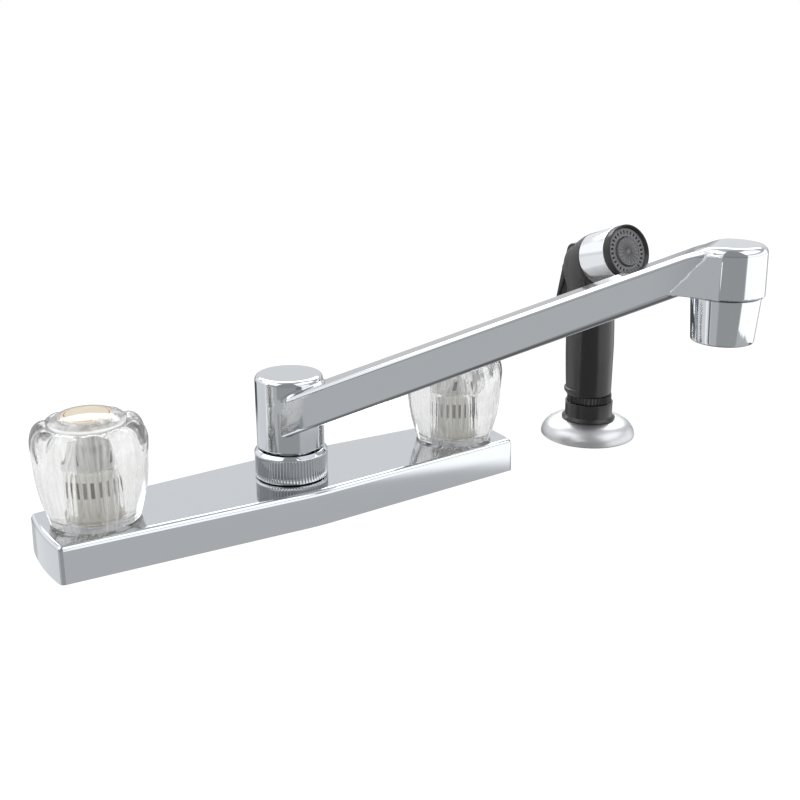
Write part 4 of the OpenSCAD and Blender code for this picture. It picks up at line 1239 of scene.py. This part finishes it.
# %% Collar
flare_r, flare_low, flare_top = 16.1 * mm, flange_h + 0.7 * mm, flange_h + 2.2 * mm
neck_r = collar_r - 0.1 * mm
lip_z, ledge_z = collar_top - 0.6 * mm, collar_top - 2.4 * mm
collar_profile = rounded(
    [(holder_bore, shank_low), (shank_r, shank_low), (shank_r, flange_h), (flare_r - 0.3 * mm, flange_h),
     (flare_r, flare_low), (neck_r, flare_top), (neck_r, collar_top - 1 * mm), (collar_r, lip_z),
     (collar_r, collar_top), (collar_r - 1.1 * mm, collar_top), (collar_r - 1.6 * mm, ledge_z),
     (holder_bore, ledge_z), (holder_bore, shank_low)],
    [0, 0.4 * mm, 0, 0.3 * mm, 0.3 * mm, 1 * mm, 0.2 * mm, 0.2 * mm, 0.4 * mm, 0.3 * mm, 0.3 * mm, 0.3 * mm,
     0], 5)
add_mesh(turned("spray_collar", collar_profile, spray, 192), "base", black, "spray_holder")

# %% [markdown]
# The grip is one moulding. It swells from its foot, leans back a little, and ends in a round head whose
# mouth takes the chrome band. Its front is a flatter panel between two soft creases, and its back has a
# slot for the thumb lever. Inside it has the bore for the water, the thread of the hose's coupling, and the
# shaft and seat in which the lever's plunger slides. All of it is one distance field, whose y runs away
# from the viewer.

# %% Sizes of the spray
body_low = bottom("spray_body")
mouth = np.array([-25.7, 116.4]) * mm
tilt = math.radians(18.3)
head_r = 15.3 * mm
rim_len, band_len = 5 * mm, 20.5 * mm
mouth_end = rim_len + band_len
grip_len = 62 * mm
grip_lean = 3 * mm
grip_foot_r, grip_swell, grip_waist = 14.2, 0.55, 0.75
grip_end_r, grip_end_z = 15 * mm, 93 * mm
head_dome_r, head_dome_len = 12.4 * mm, 12 * mm
head_fillet = 9 * mm
neck_gap, neck_out = 1 * mm, 13.2 * mm
hollow_r = 9 * mm
water_r, water_top = 5 * mm, 100 * mm
coupling_r, coupling_deep = 7.5 * mm, 9 * mm
crease_angle = math.radians(70)
panel_bend = 1.08
foot_start = 13.9 * mm
bead_out, bead_half, bead_mid = 1.0 * mm, 1.4 * mm, 2.6 * mm
ring_depth, ring_half, ring_mid = 0.35 * mm, 0.6 * mm, 4.6 * mm
lever_low, lever_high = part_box("spray_lever")
lever_width = lever_high.x - lever_low.x
lever_gap, lever_fillet, lever_edge = 0.4 * mm, 1.2 * mm, 1.3 * mm
plunger_z = float((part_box("spray_plunger")[0].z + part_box("spray_plunger")[1].z) / 2)
plunger_r = radius("spray_plunger")
spring_low, spring_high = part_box("plunger_spring")
# each bar's end: its place (y, z) and its radius, in millimetres
lever_bars = [((12, 108), 4), ((14.8, 109.6), 5.7), ((21.1, 100), 2.6), ((27.7, 78.7), 1.2)]
slot_low, slot_front = 90.4 * mm, 12 * mm
print("the spray's head leans", round(math.degrees(tilt), 1), "degrees")


# %% Grip and lever seen from the side
def along_head(y, z):
    """How far a point lies behind the head's face along the head's axis, and how high above that axis."""
    back, rise = y - mouth[0], z - mouth[1]
    return back * math.cos(tilt) - rise * math.sin(tilt), back * math.sin(tilt) + rise * math.cos(tilt)


def grip_field(x, y, z):
    """A tube whose radius follows a smooth curve of the height, less a flatter front panel: a cylinder of a
    larger radius whose middle lies behind the grip's, so that both meet at the creases."""
    share = np.clip((z - body_low) / grip_len, 0, 1.2)
    swell = grip_swell * np.sin(np.clip(share / 0.5, 0, 1) * math.pi / 2)
    r = (grip_foot_r + swell - grip_waist * np.clip(share - 0.35, 0, 1) ** 1.5) * mm
    middle_y = grip_lean * share
    bead = bead_out * np.exp(-((z - body_low - bead_mid) / bead_half) ** 6)
    ring = ring_depth * np.exp(-((z - body_low - ring_mid) / ring_half) ** 2)
    r = np.minimum(r + bead - ring, foot_start + z - body_low)
    out = np.hypot(x, y - middle_y) - r
    panel_r = r * panel_bend
    shift = np.sqrt(panel_r ** 2 - (r * math.sin(crease_angle)) ** 2) - r * math.cos(crease_angle)
    panel = np.hypot(x, y - middle_y - shift) - panel_r
    fade = np.clip((z - body_low - ring_mid - ring_half) / (3 * mm), 0, 1)
    return out + np.maximum(panel - out, 0) * fade


def lever_line(y, z):
    """The distance to the lever's outline seen from the side: a chain of round bars that get thinner."""
    near = None
    for (start, thick), (end, thin) in zip(lever_bars[:-1], lever_bars[1:]):
        a, b = np.array(start) * mm, np.array(end) * mm
        step = b - a
        t = np.clip(((y - a[0]) * step[0] + (z - a[1]) * step[1]) / (step @ step), 0, 1)
        away = np.hypot(y - a[0] - t * step[0], z - a[1] - t * step[1]) - (thick + (thin - thick) * t) * mm
        near = away if near is None else join(near, away, lever_fillet)
    return near


# %% Head and rooms
def head_field(out, back):
    """The head behind the band: a cylinder that narrows by a power of the depth, and ends in a dome."""
    share = np.clip((back - mouth_end) / head_dome_len, 0, 1)
    narrow = head_r - (head_r - head_dome_r) * share ** 1.6
    head = np.hypot(out, np.maximum(back - mouth_end - head_dome_len, 0)) - narrow
    return np.maximum(head, mouth_end - back)


def rooms_field(x, y, z):
    """The water's bore, the coupling's thread, and the shaft and seat of the plunger."""
    bore = np.maximum(np.hypot(x, y) - water_r, z - water_top)
    thread = np.maximum(np.hypot(x, y) - coupling_r, z - body_low - coupling_deep)
    from_shaft = np.hypot(x, z - plunger_z)
    shaft = np.maximum(from_shaft - plunger_r - 0.1 * mm, spring_low.y - y)
    seat = box_field(from_shaft, y - (spring_low.y + spring_high.y) / 2, spring_high.x - spray[0],
                     (spring_high.y - spring_low.y) / 2, 0.2 * mm)
    return np.minimum(np.minimum(bore, thread), np.minimum(shaft, seat))


# %% The whole body
def body_field(x, y, z):
    """The smooth sum of grip, head and the band's neck, less the lever's slot and the rooms."""
    x = x - spray[0]
    back, rise = along_head(y, z)
    out = np.hypot(x, rise)
    end = np.sqrt(x ** 2 + (y - grip_lean) ** 2 + np.maximum(z - grip_end_z, 0) ** 2) - grip_end_r
    body = join(head_field(out, back), np.maximum(grip_field(x, y, z), end), head_fillet)
    body = np.maximum(body, np.where(z > 60 * mm, mouth_end - back, -1))
    body = np.maximum(body, body_low - z)
    neck_low, neck_high = rim_len + neck_gap, mouth_end + 2 * neck_gap
    neck = box_field(out, back - (neck_low + neck_high) / 2, neck_out, (neck_high - neck_low) / 2, 0.2 * mm)
    body = np.minimum(body, neck)
    body = np.maximum(body, -np.maximum(out - hollow_r, back - mouth_end))
    beside = np.abs(x) - lever_width / 2 - lever_gap
    slot = np.maximum(lever_line(y, z) - lever_gap, beside)
    behind = np.maximum(np.maximum(slot_front - y, slot_low - z), beside)
    body = cut(body, np.minimum(slot, behind), 0.5 * mm)
    return np.maximum(body, -rooms_field(x, y, z))


body_mesh = skin_over("spray_body", "spray_grip", body_field, margin, skin_step)


# %% Finish of the grip
def grip_shade(shader):
    """Black plastic whose sides have a dull skin and are painted lighter than the front panel, as painted
    light, while the front panel is glossier.
    """
    grain = shader.noise(1500.0, detail=3.0)
    turn, away, z = shader.round_axis(spray)
    # the sides' lighter colour is painted light; the front panel keeps the black
    front = (turn * (180 / math.pi)).band(-90, 68, 5) * (1 - z.between(95 * mm, 104 * mm))
    tone = shader.mix(front, colour(0.036, 0.034, 0.034), colour(0.010, 0.009, 0.009))
    return shader.node(
        "ShaderNodeBsdfPrincipled", Base_Color=tone, Roughness=0.34 - front * 0.14 + grain * 0.06,
        Specular_IOR_Level=0.45, Normal=shader.bump(grain, 0.00001, 0.4))


grip_plastic = material("grip_plastic", grip_shade)
add_mesh(body_mesh, "hand_spray", grip_plastic, "spray_body")

# %% [markdown]
# The thumb lever is a claw: a thick round head on the pin, a bend, and a long thin tail that stands off the
# grip's back. Its side view is a chain of round bars joined smoothly, and its rounded edges come from the
# same rule that rounds a box. A finer grid than the grip's keeps its thin tail smooth.


# %% Thumb lever
def lever_field(x, y, z):
    """The overlap of the side view and the width, which shrinks a little towards the tail."""
    narrowing = 0.25 * mm * np.clip((95 * mm - z) / (16 * mm), 0, 1)
    across = np.abs(x - spray[0]) - lever_width / 2 + narrowing
    return both(across, lever_line(y, z), lever_edge)


lever_mesh = skin_over("spray_lever", "thumb_claw", lever_field, margin, 0.45 * mm)
add_mesh(lever_mesh, "thumb_lever", black, "spray_lever")

# %% [markdown]
# The head's front pieces are turned about the head's own axis. A second helper turns a profile whose first
# number is the radius and whose second is the depth behind the face, and then tilts it into place.


# %% Turning about the head's axis
def place_on_head(points):
    """Moves points (x, up, depth) from the head's frame to their place: face + x along X + up along the
    head's upright + depth along its axis."""
    x, up, depth = points[..., 0], points[..., 1], points[..., 2]
    y = mouth[0] + depth * math.cos(tilt) + up * math.sin(tilt)
    z = mouth[1] - depth * math.sin(tilt) + up * math.cos(tilt)
    return np.stack([spray[0] + x, y, z], -1)


def head_turned(name, profile):
    return grid_mesh(name, place_on_head(turned_points(profile, (0, 0), 160)), True, True)


# %% Band
face_r = 13.4 * mm
band_front, band_back = rim_len + 0.1 * mm, mouth_end - 0.1 * mm
band_profile = rounded(
    [(face_r, band_front), (head_r, band_front), (head_r, band_back), (face_r, band_back),
     (face_r, band_front)], [0, 0.35 * mm, 0.35 * mm, 0, 0], 5)


def band_shade(shader):
    """A bright plated plastic, softer than the castings' chrome."""
    grain = shader.noise(900.0, detail=2.0)
    return shader.node("ShaderNodeBsdfPrincipled", Base_Color=colour(0.84, 0.85, 0.87), Metallic=0.8,
                       Roughness=0.11 + grain * 0.03)


band_finish = material("band_chrome", band_shade)
add_mesh(head_turned("head_band", band_profile), "hand_spray", band_finish, "spray_band")

# %% Rim
rim_bore, rim_step = 13.5 * mm, head_r - 0.3 * mm
rim_profile = rounded(
    [(rim_bore, rim_len), (rim_step, rim_len), (rim_step, rim_len - 0.8 * mm), (head_r, rim_len - 1 * mm),
     (head_r - 0.1 * mm, 0), (head_r - 0.9 * mm, 0), (13.1 * mm, 2.2 * mm), (rim_bore, rim_len)],
    [0, 0.1 * mm, 0.1 * mm, 0.1 * mm, 0.35 * mm, 0.3 * mm, 0.3 * mm, 0], 5)
add_mesh(head_turned("head_rim", rim_profile), "hand_spray", black, "spray_rim")

# %% [markdown]
# The face is a flat ring with narrow slots that point at its middle. In the middle sits a disc whose ribs
# run out like spokes. Its height is a formula of radius and angle: a row of round ribs that fade in near
# the hub and out near the rim.


# %% Sizes of the face
slot_count = 28
spoke_count = 18
face_depth = 1.8 * mm
face_back = rim_len
slot_in, slot_out = 10.2 * mm, 12 * mm
slot_half = 0.5 * mm
disc_r, lip_r, disc_edge_r = 8 * mm, 7.5 * mm, 7.95 * mm
disc_front, disc_lip = 0.8 * mm, 0.35 * mm
spoke_height = 0.6 * mm
disc_sides = 360


# %% Ring with slots
def slotted_face(x, y, z):
    """The field of a ring with a slot at each of slot_count angles. The angle is folded into one slot's
    share of the circle, so that one slot serves all."""
    x, (depth, up) = x - spray[0], along_head(y, z)
    r, angle = np.hypot(x, up), np.arctan2(up, x)
    share = 2 * math.pi / slot_count
    folded = (angle + share / 2) % share - share / 2
    along, aside = r * np.cos(folded), r * np.sin(folded)
    ring = box_field(r - (face_r + disc_r) / 2, depth - (face_depth + face_back) / 2,
                     (face_r - disc_r) / 2, (face_back - face_depth) / 2, 0.2 * mm)
    slot = box_field(along - (slot_in + slot_out) / 2, aside, (slot_out - slot_in) / 2, slot_half, 0.3 * mm)
    circle = box_field(r - disc_r, depth - face_depth, 0.55 * mm, 1.2 * mm, 0.1 * mm)
    return cut(ring, np.minimum(slot, circle), 0.15 * mm)


face_mesh = skin_over("spray_face", "slotted_face", slotted_face, mm, 0.28 * mm)
add_mesh(face_mesh, "hand_spray", face_plastic, "spray_face")


# %% Disc with spokes
def spokes(angle, r):
    """The ribs' height: a power of a cosine of the angle, faded in from the hub and out towards the rim."""
    wave = (0.5 + 0.5 * np.cos(spoke_count * angle)) ** 1.5
    fade = np.clip((r - 0.8 * mm) / (1.5 * mm), 0, 1) * np.clip((disc_r - 0.7 * mm - r) / (0.4 * mm), 0, 1)
    return spoke_height * wave * fade


disc_profile = even_line(rounded(
    [(0, disc_front), (lip_r, disc_front), (lip_r, disc_lip), (disc_edge_r, disc_lip),
     (disc_edge_r, face_back), (0, face_back)],
    [0, 0.1 * mm, 0.1 * mm, 0.1 * mm, 0.1 * mm, 0], 3), 0.3 * mm)
disc_points = turned_points(disc_profile, (0, 0), disc_sides)
disc_angle = np.linspace(0, 2 * math.pi, disc_sides, endpoint=False)[:, None]
on_front = disc_profile[None, :, 1] < disc_front + 0.05 * mm
disc_points[..., 2] -= spokes(disc_angle, disc_profile[None, :, 0]) * on_front
disc = grid_mesh("spoked_disc", place_on_head(disc_points), True)
add_mesh(disc, "hand_spray", face_plastic, "spray_core")

# %% [markdown]
# The rest of the frame's nodes keep their own meshes, which are right as they are, and get their finish.
# The post alone takes another one than its slot's: a brass painted near black, as painted shade, because it
# stands in the dark gap under the nut.

# %% Finishes of the nodes that stay
finish_of = {
    "chrome": chrome, "band_chrome": chrome, "satin_nickel": nickel, "rubber": rubber, "brass": brass,
    "copper": copper, "steel": steel, "white_plastic": white_plastic, "clear_acrylic": acrylic,
    "clear_cap": acrylic, "cream_plastic": cream, "hot_index": cream, "cold_index": cream,
    "black_plastic": black, "face_plastic": face_plastic,
}
for part in frame["record"]["subparts"]:
    # the post gets the brass with painted shade
    finish = brass_in_painted_shade if part["node"] == "spout_post" else finish_of[part["material_slot"]]
    piece = nodes[part["node"]]
    piece.data.materials.clear()
    piece.data.materials.append(finish)
